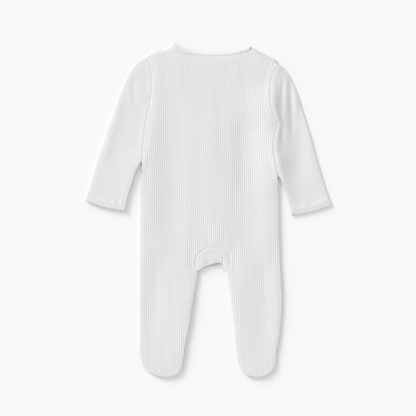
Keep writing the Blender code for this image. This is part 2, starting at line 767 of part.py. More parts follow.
# ---------------------------------------------------------------- the pieces
def leg_edge(column):
    """The side seam, the foot and the inseam of one leg, walked with the cloth on the left."""
    beside_sleeve = smooth(side_points(SIDE[:SHARED_ROWS], column), SEAM_STEP)
    down = smooth(side_points(SIDE[SHARED_ROWS - 1:], column), LEG_STEP)
    up = smooth(side_points(INSEAM, column), LEG_STEP)
    path = np.vstack([beside_sleeve[:-1], down[:-1], up])
    return path if column == LEFT else path[::-1]


def armhole(column):
    """The armhole seam from the shoulder's tip to the underarm."""
    return smooth(side_points(ARMHOLE, column), SEAM_STEP)


def walked_back(runs):
    """The same outline walked the other way round."""
    return [(points[::-1], *rest) for points, *rest in reversed(runs)]


def make_back(material):
    """The back: body, both legs and both soles in one piece, arched out for the gusset."""
    shoulder_left = smooth(plain_points(SHOULDER_SEAM_LEFT), SEAM_STEP)[::-1]
    shoulder_right = smooth(plain_points(SHOULDER_SEAM_RIGHT), SEAM_STEP)
    neck = [(x, low) for _station, x, _up, low in NECK_BAND_BACK[3:-2]]
    neck = smooth([shoulder_left[0]] + neck + [shoulder_right[-1]], SEAM_STEP)[::-1]
    outline = outlined([
        (armhole(LEFT), SEAM_TOP, "seam", HALF_GAP),
        (leg_edge(LEFT), UPPER, "edge", HALF_GAP),
        (smooth(plain_points(GUSSET_SEAM), CURVE_STEP), SEAM_TOP, "seam", HALF_GAP),
        (leg_edge(RIGHT), UPPER, "edge", HALF_GAP),
        (armhole(RIGHT)[::-1], SEAM_TOP, "seam", HALF_GAP),
        (shoulder_right, SEAM_TOP, "seam", HALF_GAP),
        (neck, SEAM_TOP, "seam", HALF_GAP),
        (shoulder_left, SEAM_TOP, "seam", HALF_GAP),
    ])
    return tray("back", outline, BodyCloth(), BACK_RISE, BACK_FOLDS, material)


def make_gusset(material):
    """The crotch gusset, let into the arch of the back."""
    edge = smooth(plain_points(GUSSET_EDGE), CURVE_STEP)
    outline = outlined([
        (edge, UPPER, "edge", HALF_GAP),
        (smooth(plain_points(GUSSET_SEAM), CURVE_STEP)[::-1], SEAM_TOP, "seam", HALF_GAP),
    ])
    return tray("crotch_gusset", outline, BodyCloth(), GUSSET_RISE, (), material)


def make_sleeve(name, column, folds, material):
    """A sleeve: one piece folded to a tube, sewn to the armhole and open at its hemmed cuff."""
    runs = [
        (armhole(column)[::-1], SEAM_TOP, "end", HALF_GAP),
        (smooth(side_points(SLEEVE_OUTER, column), EDGE_STEP), FOLDED_EDGE, "side", 0.0),
        (smooth(side_points(CUFF, column), EDGE_STEP), CUFF_TOP, "end", 0.0),
        (smooth(side_points(SLEEVE_INNER, column), EDGE_STEP), FOLDED_EDGE, "side", 0.0),
        (smooth(side_points(SIDE[:SHARED_ROWS], column), SEAM_STEP)[::-1], FOLDED_EDGE, "side",
         HALF_GAP),
    ]
    if column == RIGHT:
        runs = walked_back(runs)
        runs = [runs[-1]] + runs[:-1]
    cloth = SleeveCloth(side_points(SLEEVE_OUTER, column)[0], side_points(CUFF, column)[0])
    return tube(name, outlined(runs), cloth, SLEEVE_RISE, folds, material)


def halved(path, middle, column):
    """The half of a path on one side, walked inwards to its middle."""
    split = int(np.abs(path[:, 0] - middle[0]).argmin())
    path[split] = middle
    return path[:split + 1] if column == LEFT else path[split:][::-1]


def make_front(name, column, holes, material):
    """One front: its leg ends at the ankle, and its shoulder turns over onto the back."""
    crotch = halved(smooth(plain_points(FRONT_CROTCH), CURVE_STEP), CLOSURE[1][1:], column)
    neck = [(x, low) for _station, x, _up, low in NECK_BAND_FRONT]
    neck = halved(smooth(neck, CURVE_STEP), CLOSURE[0][1:], column)[::-1]
    fold = plain_points(SHOULDER_FOLD_LEFT if column == LEFT else SHOULDER_FOLD_RIGHT)
    corner = side_points(NECK_CORNER, column)
    runs = [
        (armhole(column), CLOTH, "seam", HALF_GAP),
        (smooth(side_points(SIDE[:SHARED_ROWS], column), SEAM_STEP), CLOTH, "edge", HALF_GAP),
        (smooth(side_points(SIDE[SHARED_ROWS - 1:SIDE_ANKLE + 1], column), EDGE_STEP), CLOTH,
         "edge", HALF_GAP),
        (smooth(side_points(ANKLE, column), EDGE_STEP), CLOTH, "seam", HALF_GAP),
        (smooth(side_points(INSEAM[INSEAM_ANKLE:], column), EDGE_STEP), CLOTH, "edge", HALF_GAP),
        (crotch, CLOTH, "edge", HALF_GAP),
        (smooth([CLOSURE[1][1:], CLOSURE[0][1:]], INNER_STEP), CLOTH, "seam", HALF_GAP),
        (np.vstack([neck, corner]), CLOTH, "seam", HALF_GAP),
        (smooth(corner + fold[:1], SEAM_STEP), CLOTH, "seam", 0.0),
        (smooth(fold, SEAM_STEP), CLOTH, "edge", 0.0),
    ]
    if column == RIGHT:
        runs = walked_back(runs)
    front = plate(name, outlined(runs), material, holes=holes)
    wrap = make_wrap(name + "_wrap", column, material)
    union = front.modifiers.new("turned over the shoulder", "BOOLEAN")
    union.operation = "UNION"
    union.solver = "EXACT"
    union.object = wrap
    return front


def make_wrap(name, column, material):
    """The part of a front that is turned over the shoulder, a guide for its union."""
    left = column == LEFT
    seam = plain_points(SHOULDER_SEAM_LEFT[2:] if left else SHOULDER_SEAM_RIGHT)
    fold = plain_points(SHOULDER_FOLD_LEFT[:3] if left else SHOULDER_FOLD_RIGHT[:5])
    corner = side_points(NECK_CORNER, column)
    below_band = [(NECK_BAND_BACK[1][1], NECK_BAND_BACK[1][3])] if left else []
    neck = [seam[-1]] + below_band + corner
    runs = [
        (smooth([fold[-1]] + seam[1:], CURVE_STEP), SEAM_TOP, "seam", WRAP_KEEP),
        (smooth(neck, CURVE_STEP), SEAM_TOP, "seam", WRAP_INSET),
        (smooth(corner + fold[:1], CURVE_STEP), SEAM_TOP, "seam", WRAP_INSET),
        (smooth(fold, CURVE_STEP), UPPER, "edge", WRAP_INSET),
    ]
    if column == RIGHT:
        runs = walked_back(runs)
    x, y = fold[0]
    slope = math.atan2(fold[0][1] - fold[-1][1], fold[0][0] - fold[-1][0])
    turned = 2 * slope - math.pi / 2
    cloth = SleeveCloth((x, y), (x + math.cos(turned), y + math.sin(turned)))
    wrap = plate(name, outlined(runs), material, WRAP_FLOOR, cloth=cloth, rise=WRAP_RISE)
    wrap.hide_render = True
    wrap.display_type = "WIRE"
    return wrap


def make_foot_top(name, column, material):
    """The top of one foot, sewn to the front at the ankle and to the sole around the toes."""
    runs = [
        (smooth(side_points(SIDE[SIDE_ANKLE:], column), LEG_STEP), CLOTH, "edge", HALF_GAP),
        (smooth(side_points(INSEAM[:INSEAM_ANKLE + 1], column), LEG_STEP), CLOTH, "edge",
         HALF_GAP),
        (smooth(side_points(ANKLE, column), EDGE_STEP)[::-1], CLOTH, "seam", HALF_GAP),
    ]
    if column == RIGHT:
        runs = walked_back(runs)
    return plate(name, outlined(runs), material)


def make_placket(material):
    """The plain strip behind the closure."""
    x = (CLOSURE[0][1] + CLOSURE[1][1]) / 2 + PLACKET_SHIFT
    left, right = x - PLACKET_HALF, x + PLACKET_HALF
    low, high = PLACKET_LOW, CLOSURE[0][2] - PLACKET_DROP
    corners = [(left, low), (right, low), (right, high), (left, high), (left, low)]
    runs = [(smooth(corners[k:k + 2], ROW), UPPER + FACING, "seam", 0.0) for k in range(4)]
    return plate("placket", outlined(runs), material, UPPER)


def snap_places():
    """Centres of the snaps, evenly spaced down the closure."""
    x = (CLOSURE[0][1] + CLOSURE[1][1]) / 2 + SNAP_INSET
    return [(x, y) for y in np.linspace(SNAP_TOP, SNAP_BOTTOM, SNAP_COUNT)]


def make_snap(name, x, y, material):
    """A snap's cap, flush with the cloth that it fastens."""
    wall = Wall()
    turn = np.arange(SNAP_SIDES) * 2 * math.pi / SNAP_SIDES
    circle = np.column_stack([np.cos(turn), np.sin(turn)])
    profile = ((SNAP_RADIUS - SNAP_BEVEL, 0.0), (SNAP_RADIUS, SNAP_BEVEL), (SNAP_RADIUS, CLOTH))
    rows = [wall.add(circle * radius + (x, y), level) for radius, level in profile]
    key = np.arange(SNAP_SIDES, dtype=float)
    wall.sheet(rows[0])
    for low, high in zip(rows, rows[1:]):
        wall.ring(low, high, key, key, SNAP_SIDES)
    wall.sheet(rows[-1])
    return wall.build(name, material)


def band_sections(table, middle, turned, keep):
    """Sections of one half of the neck band: centre, half width along Y, and facing."""
    upper = smooth([(row[1], row[2]) for row in table], BAND_STEP)
    sections = []
    for x, low in smooth([(row[1], row[3]) for row in table], CURVE_STEP):
        high = float(np.interp(x, upper[:, 0], upper[:, 1]))
        low = float(low) + keep
        sections.append(((float(x), (high + low) / 2, middle), (high - low) / 2, turned))
    return sections


def make_neck_band(material):
    """The band around the neck: one strip, turned over at each shoulder."""
    over = band_sections(NECK_BAND_BACK, BAND_UPPER, math.pi / 2, GAP)
    under = band_sections(NECK_BAND_FRONT, BAND_LOWER, -math.pi / 2, 2 * GAP)
    radius = (BAND_UPPER - BAND_LOWER) / 2
    level = (BAND_UPPER + BAND_LOWER) / 2
    sections = list(over)
    for (centre, half, _turn), sign in ((over[-1], 1), (over[0], -1)):
        for angle in BAND_TURN:
            a = math.radians(angle)
            middle = (centre[0] + sign * radius * math.cos(a), centre[1],
                      level + radius * math.sin(a))
            sections.append((middle, half, a if sign > 0 else math.pi - a))
        sections += under[::-1] if sign > 0 else []
    wall = Wall()
    rows = []
    for (x, y, z), half, facing in sections:
        row = []
        for along, across in BAND_SECTION:
            out = across * BAND_WALL / 2
            row.append((x + out * math.cos(facing), y + along * half, z + out * math.sin(facing)))
        first = len(wall.points)
        wall.points.extend(row)
        rows.append(list(range(first, first + len(row))))
    key = np.arange(len(BAND_SECTION), dtype=float)
    for low, high in zip(rows, rows[1:] + rows[:1]):
        wall.ring(low, high, key, key, len(BAND_SECTION))
    return wall.build("neck_band", material)


def main():
    """Clears the scene and makes every piece."""
    for item in list(bpy.data.objects):
        bpy.data.objects.remove(item, do_unlink=True)
    make_back(white("rib_knit_back", KNIT_GREY, KNIT_ROUGHNESS))
    make_gusset(white("rib_knit_gusset", KNIT_GREY, KNIT_ROUGHNESS))
    holes = [(x, y, SNAP_RADIUS + GAP) for x, y in snap_places()]
    sides = (("left", LEFT, LEFT_SLEEVE_FOLDS, ()), ("right", RIGHT, RIGHT_SLEEVE_FOLDS, holes))
    for side, column, folds, snap_holes in sides:
        make_sleeve("sleeve_" + side, column, folds,
                    white("rib_knit_sleeve_" + side, KNIT_GREY, KNIT_ROUGHNESS))
        make_front("front_" + side, column, snap_holes,
                   white("rib_knit_front_" + side, UNDER_GREY, KNIT_ROUGHNESS))
        make_foot_top("foot_top_" + side, column,
                      white("rib_knit_foot_" + side, UNDER_GREY, KNIT_ROUGHNESS))
    make_placket(white("placket_jersey", JERSEY_GREY, JERSEY_ROUGHNESS))
    make_neck_band(white("neck_binding", BINDING_GREY, JERSEY_ROUGHNESS))
    for number, (x, y) in enumerate(snap_places(), 1):
        make_snap("snap_" + str(number), x, y,
                  white("snap_resin_" + str(number), RESIN_GREY, RESIN_ROUGHNESS))


main()
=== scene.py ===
"""Footed baby sleepsuit in white rib-knit cotton, laid flat on its front with its back up.

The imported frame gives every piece's place and outline. Each cloth piece is knitted again over its
outline as a fine ribbed shell, then bound, stitched, snapped and lit. Plans are in millimetres.
"""
import json
import math

import bmesh
import bpy
import numpy as np
from bpy.props import FloatProperty, FloatVectorProperty, IntProperty, PointerProperty
from mathutils import Matrix, Vector, kdtree
from mathutils.bvhtree import BVHTree
from mathutils.geometry import delaunay_2d_cdt

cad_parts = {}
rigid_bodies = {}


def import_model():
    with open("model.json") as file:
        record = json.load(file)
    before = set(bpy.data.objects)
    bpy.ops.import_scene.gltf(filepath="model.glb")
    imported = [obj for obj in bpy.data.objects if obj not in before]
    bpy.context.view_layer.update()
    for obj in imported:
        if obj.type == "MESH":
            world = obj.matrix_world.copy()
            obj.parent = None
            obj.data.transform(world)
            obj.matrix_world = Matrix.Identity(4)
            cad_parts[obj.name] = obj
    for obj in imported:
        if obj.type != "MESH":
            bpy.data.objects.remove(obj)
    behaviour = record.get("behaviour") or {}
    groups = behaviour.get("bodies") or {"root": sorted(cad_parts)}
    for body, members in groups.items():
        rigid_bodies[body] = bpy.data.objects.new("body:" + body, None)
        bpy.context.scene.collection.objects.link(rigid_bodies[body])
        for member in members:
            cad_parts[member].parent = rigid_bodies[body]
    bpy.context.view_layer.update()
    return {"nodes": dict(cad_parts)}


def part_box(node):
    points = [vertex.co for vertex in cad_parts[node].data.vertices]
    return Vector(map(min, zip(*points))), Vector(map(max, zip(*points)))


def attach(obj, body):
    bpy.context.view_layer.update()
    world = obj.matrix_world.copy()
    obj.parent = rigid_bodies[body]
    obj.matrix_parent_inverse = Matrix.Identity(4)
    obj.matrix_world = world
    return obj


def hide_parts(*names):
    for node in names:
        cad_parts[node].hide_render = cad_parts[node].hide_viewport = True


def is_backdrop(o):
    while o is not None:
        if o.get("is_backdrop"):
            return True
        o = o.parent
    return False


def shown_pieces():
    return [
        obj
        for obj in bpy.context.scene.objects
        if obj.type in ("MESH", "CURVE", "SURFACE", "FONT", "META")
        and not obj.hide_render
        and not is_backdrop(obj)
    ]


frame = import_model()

bl_info = {
    "name": "Rib-knit Sleepsuit",
    "version": (1, 0, 0),
    "blender": (4, 5, 0),
    "location": "3D View > Sidebar > Sleepsuit",
    "description": "Knits, binds and stitches a footed sleepsuit over its packed frame",
    "category": "Object",
}

BODY = "root"

# ---------------------------------------------------------------- sizes, in millimetres
MM = 0.001               # metres in a millimetre
CLOTH = 1.3              # wall of the rib knit, in the valley between two ribs
GAP = 0.3                # clear space between pieces that are sewn to each other
UPPER = CLOTH + GAP      # where the upper layer starts
SEAM_TOP = UPPER + CLOTH    # top of the upper layer along a seam
SEAM_GROOVE = 0.22       # how deep a seam sinks between the two cloths that it joins
SEAM_WIDTH = 1.2         # half width of that groove
SEAM_BLEND = 12.0        # how far from a seam both cloths bend to meet each other
SEAM_LEFT = 0.01         # clear space that is left between two sewn edges
SEAM_RIB = 0.6           # share of a rib's height that is left in a seam
JOINED_WITHIN = 0.6      # edges nearer than this to each other are sewn or lie on each other
JOINED_FADE = 4.5        # and over this more they come apart
CLOSED_WITHIN = 2.2      # gaps up to this are closed,
CLOSED_FADE = 2.0        # and gaps up to this more in part
FACED = 0.2              # least share of a gap that lies straight ahead of a joined edge
FAR = 1000.0             # stands for a distance to something that a piece doesn't have
TOUCHING = 0.36          # under this gap an edge is joined whichever way it faces
BACK_RISE = 4.8          # top of the back's cloth over the floor, between its folds
SLEEVE_RISE = {"left": 4.1, "right": 3.2}    # the same for the sleeves
GUSSET_RISE = 4.7        # the same for the gusset
WRAP_RISE = 4.0          # the same for a front where it turns over the shoulder
BAND_RISE = 4.3          # the same for the neck's binding
SLEEVE_RIBS = 0.3        # share of a rib's height that is left on the stretched sleeves
FOLDED_EDGE = 1.0        # level of a sleeve's long edges, half way up their fold
CUFF_TOP = 3.6           # top of the cloth at a sleeve's open end
CUFF_TURN = 9.0          # how far along its end a sleeve opens to that height
UNDERCUT = 0.9           # how far the flat underside stays inside the outline
RIB_CENTRE = 8.0         # x of the rib that runs down the middle of the back
EDGE_ROUND = 0.4         # how far in an edge has turned upwards
WRAP_ROUND = {"left": 2.6, "right": 4.4}    # the same for the turned shoulders
SOFT_RISE = 0.4          # how much more the cloth rises slowly, after that turn
WRAP_SOFT = 1.0          # the same for the turned shoulders
WRAP_CLEAR = 0.02        # clear space under them
FIRST_RIB = 0.2          # share of a rib's height that is left at a free edge
RIB_START = 2.0          # how far in from an edge or a seam the ribs are full
LOW_EDGE_IN = 0.5        # how far in the edge of a lower layer is rounded,
LOW_EDGE_DROP = 0.25     # and how far down
TOE_LINE = -258.0        # below it the toes' seam shows,
TOE_FADE = 8.0           # over this much more it reaches its full depth
TOE_SEAM = 8.6           # how far inside the toes' edge it runs
TOE_DEPTH = 0.3          # how deep it presses the cloth in
TOE_WIDTH = 1.2          # half width of that groove
HEM = 12.5               # depth of a sleeve's turned hem
HEM_RISE = 0.6           # how much higher its second layer lifts the cloth
HEM_PAST = 0.4           # how far past its end the cloth starts to sink again,
HEM_SLOPE = 1.6          # and over how much it does so
HEM_SEWN = 0.8           # how far inside its end it is sewn down
HEM_PINCH = 0.5          # how deep the stitches pull the cloth in there
HEM_PINCH_WIDTH = 1.1    # half width of that groove
CUFF_DIP = 0.18          # depth of a shallow dip along the cuff,
CUFF_DIP_IN = 2.8        # how far inside its end it runs,
CUFF_DIP_WIDTH = 1.0     # and its half width
BINDING_LENGTH = 300.0   # of the neck's binding, once round
BINDING_WIDTH = 10.0     # of its folded strip
PLACKET_EDGE = 0.35      # rounding of the placket's pressed edges
SNAP_RADIUS = 5.0        # of a snap's cap
SNAP_GROOVE = 3.6        # radius of the ring pressed into it
SNAP_ROUND = 0.2         # rounding of its inner edge
SNAP_FACE = (
    # radius, level over the floor, from the middle of the cap to its side
    (0.0, 0.30), (2.2, 0.22), (SNAP_GROOVE - 0.4, 0.12), (SNAP_GROOVE, 0.42),
    (SNAP_GROOVE + 0.4, 0.12), (4.5, 0.0), (4.85, 0.15), (SNAP_RADIUS, 0.5),
)
HEM_ENDS = 3             # points at each end of a cuff that no stitch reaches
NECK_SEWN = (-42.0, 66.0)    # x between which the binding's stitches show
NECK_SEWN_IN = 0.9       # how far inside the binding's edge they run
THREAD_LIFT = 0.3        # height of a stitch's middle over the cloth, in thread radii

# Spacing of the points that make the surfaces
EDGE_STEP = 1.2          # along an outline
RIM_ROWS = (0.13, 0.4, 0.95)    # distances of the rows that follow an outline inside it
END_ROWS = (1.7, 2.8, 4.2)      # distances from a rib's end to its last rows
END_CLEAR = 5.2          # the even rows start this far from a rib's end
CLEAR = 1.3              # no other point closer than this to the outline
INNER_STEP = 14.0        # over a plain inner face
SHARP_TURN = 35.0        # degrees of a corner that is not rounded
STRAIGHT = 0.4           # degrees under which a point of an outline is dropped
ROW_KEPT = 0.9           # share of its row's distance that a point keeps from the outline
RING_KEPT = 0.98         # the same for the ring that starts a plain inner face
GRID_CLEAR = 0.4         # how far that face's grid keeps off its ring, in steps
FOLD_PARTS = 20          # points along a fold
FOLD_REACH = 2.8         # how many half widths a fold reaches
FOLD_FADE = 0.25         # share of its length over which each of its ends fades
LAY_ROUNDS = 6           # times that a rib's sway is worked out again from its own place
HOLE_PARTS = 32          # points round the hole for a snap
SNAP_PARTS = 40          # the same round the snap
MITER_LIMIT = 0.6        # cosine that limits how far a sharp corner moves
UP_FACING = 0.02         # least upward share of a normal on an upper surface
MERGE = 1e-6             # metres under which two points of a node are one
CDT_MERGE = 1e-5         # millimetres under which two points of a sheet are one
SAME = 1e-6              # lengths under this count as none

# Slight unevenness: length of a wave, direction, start and height
RIPPLES = ((47.0, 0.05, 0.4, 0.04), (33.0, -0.07, 2.1, 0.03), (71.0, 1.5, 4.0, 0.03),
           (23.0, 0.1, 1.3, 0.02))

# Corners of the turned shoulders that lie closer to the binding and the back than the solids do
TUCKED_WITHIN = 0.5      # a corner this near to one in the table is that one
TUCKED = (
    # x, y, to x, to y
    (-61.16, 278.97, -59.75, 278.97), (-61.16, 284.11, -59.75, 284.11),
    (-56.91, 276.17, -56.50, 277.20), (72.66, 279.21, 71.25, 279.21),
    (72.66, 272.16, 71.25, 272.90), (69.60, 270.99, 66.60, 270.95),
    (117.91, 253.24, 119.00, 250.25), (113.26, 253.63, 113.30, 252.35),
    (115.18, 253.47, 115.20, 252.25),
)

# The neck's binding at the back and, under it, at the front
NECK_BAND_BACK = (
    # x, upper y, lower y
    (-59.3, 285.05, 280.2), (-52.6, 280.6, 273.4), (-44.0, 276.4, 268.4), (-30.0, 272.0, 266.2),
    (-15.0, 268.6, 264.9), (9.0, 266.6, 264.0), (33.0, 268.4, 265.2), (45.0, 271.4, 266.5),
    (56.0, 274.9, 268.3), (65.0, 278.2, 270.6), (70.8, 280.1, 273.3),
)

NECK_BAND_FRONT = (
    # x, upper y, lower y
    (-59.3, 284.6, 280.2), (-52.6, 280.0, 274.0), (-43.6, 275.4, 268.6), (-36.0, 266.0, 254.5),
    (-20.0, 247.5, 238.5), (7.0, 236.0, 229.0), (34.0, 247.0, 238.0), (50.5, 264.0, 252.5),
    (61.0, 275.0, 265.0), (70.8, 279.7, 273.3),
)
BAND_UPPER = 3.3         # level of the binding's middle at the back
BAND_LOWER = 1.1         # the same at the front
BAND_WALL = 2.2          # thickness of the folded strip
BAND_TURN = (60, 30, 0, -30, -60)   # degrees at which it is set round each shoulder
BAND_FLAT = 0.15         # how flat it is pressed there
BAND_CORNER = 0.65       # how round its section is: 1 is an ellipse, less is squarer
BAND_TURN_CORNER = 0.4   # the same for the way it takes round each shoulder
BAND_ROUND = 20          # points round its section
BAND_STEP = 1.5          # between two sections

# Folds of the cloth as it was put down: a soft ridge (+) or trough (-) along a bent line that
# runs down the garment, with its half widths towards -X and +X
FOLDS = (
    # name                   x1,   y1,   x2,   y2,   x3,   y3,   -X,   +X, height
    ("left side",          -104,  178, -101,   60, -106,  -60, 26.0, 20.0,  0.9),
    ("left trough",         -64,  228,  -61,   70,  -70, -110, 22.0, 22.0, -0.75),
    ("left thigh",          -76,  -58,  -88, -130, -108, -235, 18.0, 18.0, -0.7),
    ("right trough",         60,  176,   62,   60,   64, -112, 20.0, 34.0, -0.8),
    ("right hollow",         60,  160,   62,   95,   62,   20, 17.0, 40.0, -0.9),
    ("right armhole",       105,  222,  103,  140,  109,   15, 26.0, 24.0,  2.3),
    ("right hip",           105,   60,  104,    0,  107,  -75, 22.0, 15.0,  0.6),
    ("middle ridge",          8,  190,    9,   60,   12,  -76, 28.0, 28.0,  0.35),
    ("seat ridge",           10,  -22,   12,  -48,   11,  -66,  9.0,  9.0,  0.3),
    ("left shin",           -37, -118,  -38, -200,  -48, -282, 34.0, 20.0,  1.0),
    ("right inseam",         47, -100,   52, -170,   58, -268, 15.0, 15.0,  0.35),
    ("right shin",           88,  -75,   94, -150,   92, -250, 15.0, 15.0, -0.7),
    ("left of gusset",      -30,  -60,  -29,  -84,  -26, -106,  7.0,  7.0, -0.3),
    ("right of gusset",      42,  -50,   43,  -78,   41, -104,  8.0,  8.0, -0.15),
    ("left ankle",          -44, -230,  -48, -243,  -53, -250,  2.5,  2.5, -0.2),
    ("gusset dimple",         0,  -80,   -1,  -88,   -4,  -96,  6.0,  6.0, -0.3),
    ("gusset pleat",         24,  -76,   25,  -84,   25,  -98,  1.5,  1.2, -0.5),
    ("gusset lip",           20,  -88,   21,  -92,   22,  -96,  2.0,  2.0,  0.3),
    ("left of arch",        -21,  -84,  -22,  -93,  -20, -103,  2.2,  2.2, -0.25),
    ("right of arch",        34,  -68,   35,  -78,   35,  -90,  2.2,  2.2, -0.3),
    ("left cap",           -127,  228, -128,  205, -124,  175,  5.0,  5.0, -0.4),
    ("left armhole dip",    -99,  240,  -98,  213, -103,  165,  1.5,  1.2, -0.5),
    ("left armhole ridge",  -96,  240,  -95,  213, -100,  165,  1.3,  3.0,  0.5),
    ("left lower arm",     -112,  112, -122,   50, -146,  -25, 32.0,  8.0,  1.2),
    ("left outer arm",     -148,  195, -164,  140, -185,   66,  8.0,  8.0,  0.5),
    ("right long trough",   149,  205,  153,  125,  158,   40, 16.0, 16.0, -1.0),
    ("right cap ridge",     122,  228,  122,  212,  121,  192,  2.6,  2.6,  0.3),
    ("right near trough",   127,  222,  123,  175,  128,   90,  5.0,  5.0, -0.7),
    ("right near ridge",    132,  232,  132,  200,  134,  160,  3.4,  3.4,  0.4),
    ("right far trough",    139,  232,  141,  190,  143,  110,  4.6,  4.6, -0.7),
    ("right far ridge",     148,  208,  150,  188,  151,  160,  5.0,  5.0,  0.3),
)

# More of them, that only the right sleeve has where it was pushed together at its armhole
SLEEVE_FOLDS = (
    ("right armhole",       102,  310,   99,  175,  120,  -15, 40.0, 27.0,  3.2),
    ("right lower arm",     113,  100,  124,   50,  142,  -20, 10.0, 15.0,  1.2),
)

# Looks
CLOTH_SHARP = math.radians(50)      # edges that bend more than this show as edges
RESIN_SHARP = math.radians(40)      # the same on the snaps
ALL_SMOOTH = math.pi                # for a piece that has none
PAINTED_SHADE_FACING = (0.3, 0.7)            # upward share of a normal: painted shade in full, and not at all
FLOOR_SIZE = 6.0                    # metres
FLOOR_DROP = 0.05                   # how far the floor stays under the cloth that lies on it
KEY_SPREAD = math.radians(30)       # how large the soft light from the side is,
DROP_SPREAD = math.radians(24)      # and the one that casts the floor's shadow
DOME_SPREAD = math.radians(180)     # and the even light from above
VIEW_CENTRE = (-1.2, 4.3)           # where the camera stands over the floor
SENSOR = 36.0                       # width of the camera's film


# ---------------------------------------------------------------- colours and nodes
def linear(code):
    """The linear colour of an sRGB hex code."""
    parts = [int(code[k:k + 2], 16) / 255 for k in (1, 3, 5)]
    return tuple(c / 12.92 if c <= 0.04045 else ((c + 0.055) / 1.055) ** 2.4 for c in parts)


def fill(tree, node, inputs):
    """Fills a node's sockets with values or links."""
    for socket, value in inputs.items():
        if isinstance(value, bpy.types.NodeSocket):
            tree.links.new(value, node.inputs[socket])
        else:
            node.inputs[socket].default_value = value


def add_node(tree, kind, inputs=None, **settings):
    """Adds a node with its settings, and fills its sockets."""
    made = tree.nodes.new(kind)
    for name, value in settings.items():
        setattr(made, name, value)
    fill(tree, made, inputs or {})
    return made


def new_material(name):
    """A new material, its node tree and its shader."""
    material = bpy.data.materials.new(name)
    material.use_nodes = True
    return material, material.node_tree, material.node_tree.nodes["Principled BSDF"]


# ---------------------------------------------------------------- what a user may change
class RibKnitSettings(bpy.types.PropertyGroup):
    """Sizes and colour of the rib knit"""
    pitch: FloatProperty(name="Rib pitch", description="From one rib to the next, across the hips",
                         default=3.5 * MM, unit="LENGTH")
    height: FloatProperty(name="Rib height", description="A rib's crest over its valleys",
                          default=0.24 * MM, unit="LENGTH")
    fullness: FloatProperty(name="Rib fullness", description="Lower is a rounder, fuller crest",
                            default=0.7, min=0.2, max=2.0)
    columns: IntProperty(name="Points a rib", description="Columns of points across one rib",
                         default=6, min=2, max=8)
    row: FloatProperty(name="Row step", description="Between two rows of points along a rib",
                       default=3.0 * MM, unit="LENGTH")
    course: FloatProperty(name="Course", description="Height of one knitted stitch",
                          default=1.05 * MM, unit="LENGTH")
    roll: FloatProperty(name="Edge roll", description="How far in an edge reaches its full height",
                        default=10.0 * MM, unit="LENGTH")
    colour: FloatVectorProperty(name="Cloth", description="Colour of the bleached cotton",
                                default=linear("#e7e7e6"), size=3, subtype="COLOR")


class SewingSettings(bpy.types.PropertyGroup):
    """Sizes and colour of the stitching"""
    stitch: FloatProperty(name="Stitch", description="Length of one stitch",
                          default=2.4 * MM, unit="LENGTH")
    space: FloatProperty(name="Stitch space", description="From one stitch to the next",
                         default=3.0 * MM, unit="LENGTH")
    thread: FloatProperty(name="Thread", description="Radius of the sewing thread",
                          default=0.22 * MM, unit="LENGTH")
    uneven: FloatProperty(name="Unevenness", description="How much stitches differ in length",
                          default=0.12, min=0.0, max=0.5)
    seed: IntProperty(name="Seed", description="Fixes the stitches' differences", default=4)
    colour: FloatVectorProperty(name="Thread colour", description="Colour of the thread",
                                default=linear("#f2f2f0"), size=3, subtype="COLOR")


class StudioSettings(bpy.types.PropertyGroup):
    """Floor, light and camera"""
    floor: FloatVectorProperty(name="Floor", description="Colour of the floor",
                               default=linear("#f6f6f6"), size=3, subtype="COLOR")
    fill: FloatProperty(name="Fill", description="Strength of the light from all round",
                        default=0.58, min=0.0)
    key: FloatProperty(name="Key", description="Strength of the soft light from the side",
                       default=3.52, min=0.0)
    key_turn: FloatProperty(name="Key direction", description="Where the key comes from, from +X",
                            default=math.radians(155), subtype="ANGLE")
    key_height: FloatProperty(name="Key height", description="The key's angle over the floor",
                              default=math.radians(22), subtype="ANGLE")
    drop: FloatProperty(name="Floor key", description="Strength of the light that only the floor "
                        "takes, and whose shadow shows there", default=2.35, min=0.0)
    drop_turn: FloatProperty(name="Floor key direction", description="Where it comes from",
                             default=math.radians(130), subtype="ANGLE")
    drop_height: FloatProperty(name="Floor key height", description="Its angle over the floor",
                               default=math.radians(20.5), subtype="ANGLE")
    dome: FloatProperty(name="Floor fill", description="Strength of the even light from above "
                        "that only the floor takes", default=0.57, min=0.0)
    width: FloatProperty(name="View width", description="Width of the floor in the picture",
                         default=712.2 * MM, unit="LENGTH")
    lens: FloatProperty(name="Lens", description="Focal length in millimetres", default=100.0,
                        min=20.0)


# ---------------------------------------------------------------- curves and outlines
def unit(vectors):
    """Vectors brought to length one."""
    return vectors / np.maximum(np.linalg.norm(vectors, axis=1), SAME)[:, None]


def turns(plan):
    """Degrees that a closed plan turns at each of its points."""
    before = unit(plan - np.roll(plan, 1, axis=0))
    after = unit(np.roll(plan, -1, axis=0) - plan)
    return np.degrees(np.arccos(np.clip((before * after).sum(axis=1), -1.0, 1.0)))


def curve_through(stations, step):
    """Points about a step apart on a smooth curve: x, y, level and place among the stations."""
    rows = []
    padded = np.vstack([2 * stations[0] - stations[1], stations, 2 * stations[-1] - stations[-2]])
    for k in range(1, len(padded) - 2):
        p0, p1, p2, p3 = padded[k - 1:k + 3]
        chord = float(np.linalg.norm((p2 - p1)[:2]))
        slope_1 = (p2 - p0) * chord / (chord + float(np.linalg.norm((p1 - p0)[:2])))
        slope_2 = (p3 - p1) * chord / (chord + float(np.linalg.norm((p3 - p2)[:2])))
        count = max(1, round(chord / step))
        for share in np.arange(count) / count:
            s2, s3 = share ** 2, share ** 3
            point = ((2 * s3 - 3 * s2 + 1) * p1 + (s3 - 2 * s2 + share) * slope_1
                     + (3 * s2 - 2 * s3) * p2 + (s3 - s2) * slope_2)
            rows.append((point[0], point[1], p1[2] + share * (p2[2] - p1[2]), k - 1 + share))
    return rows


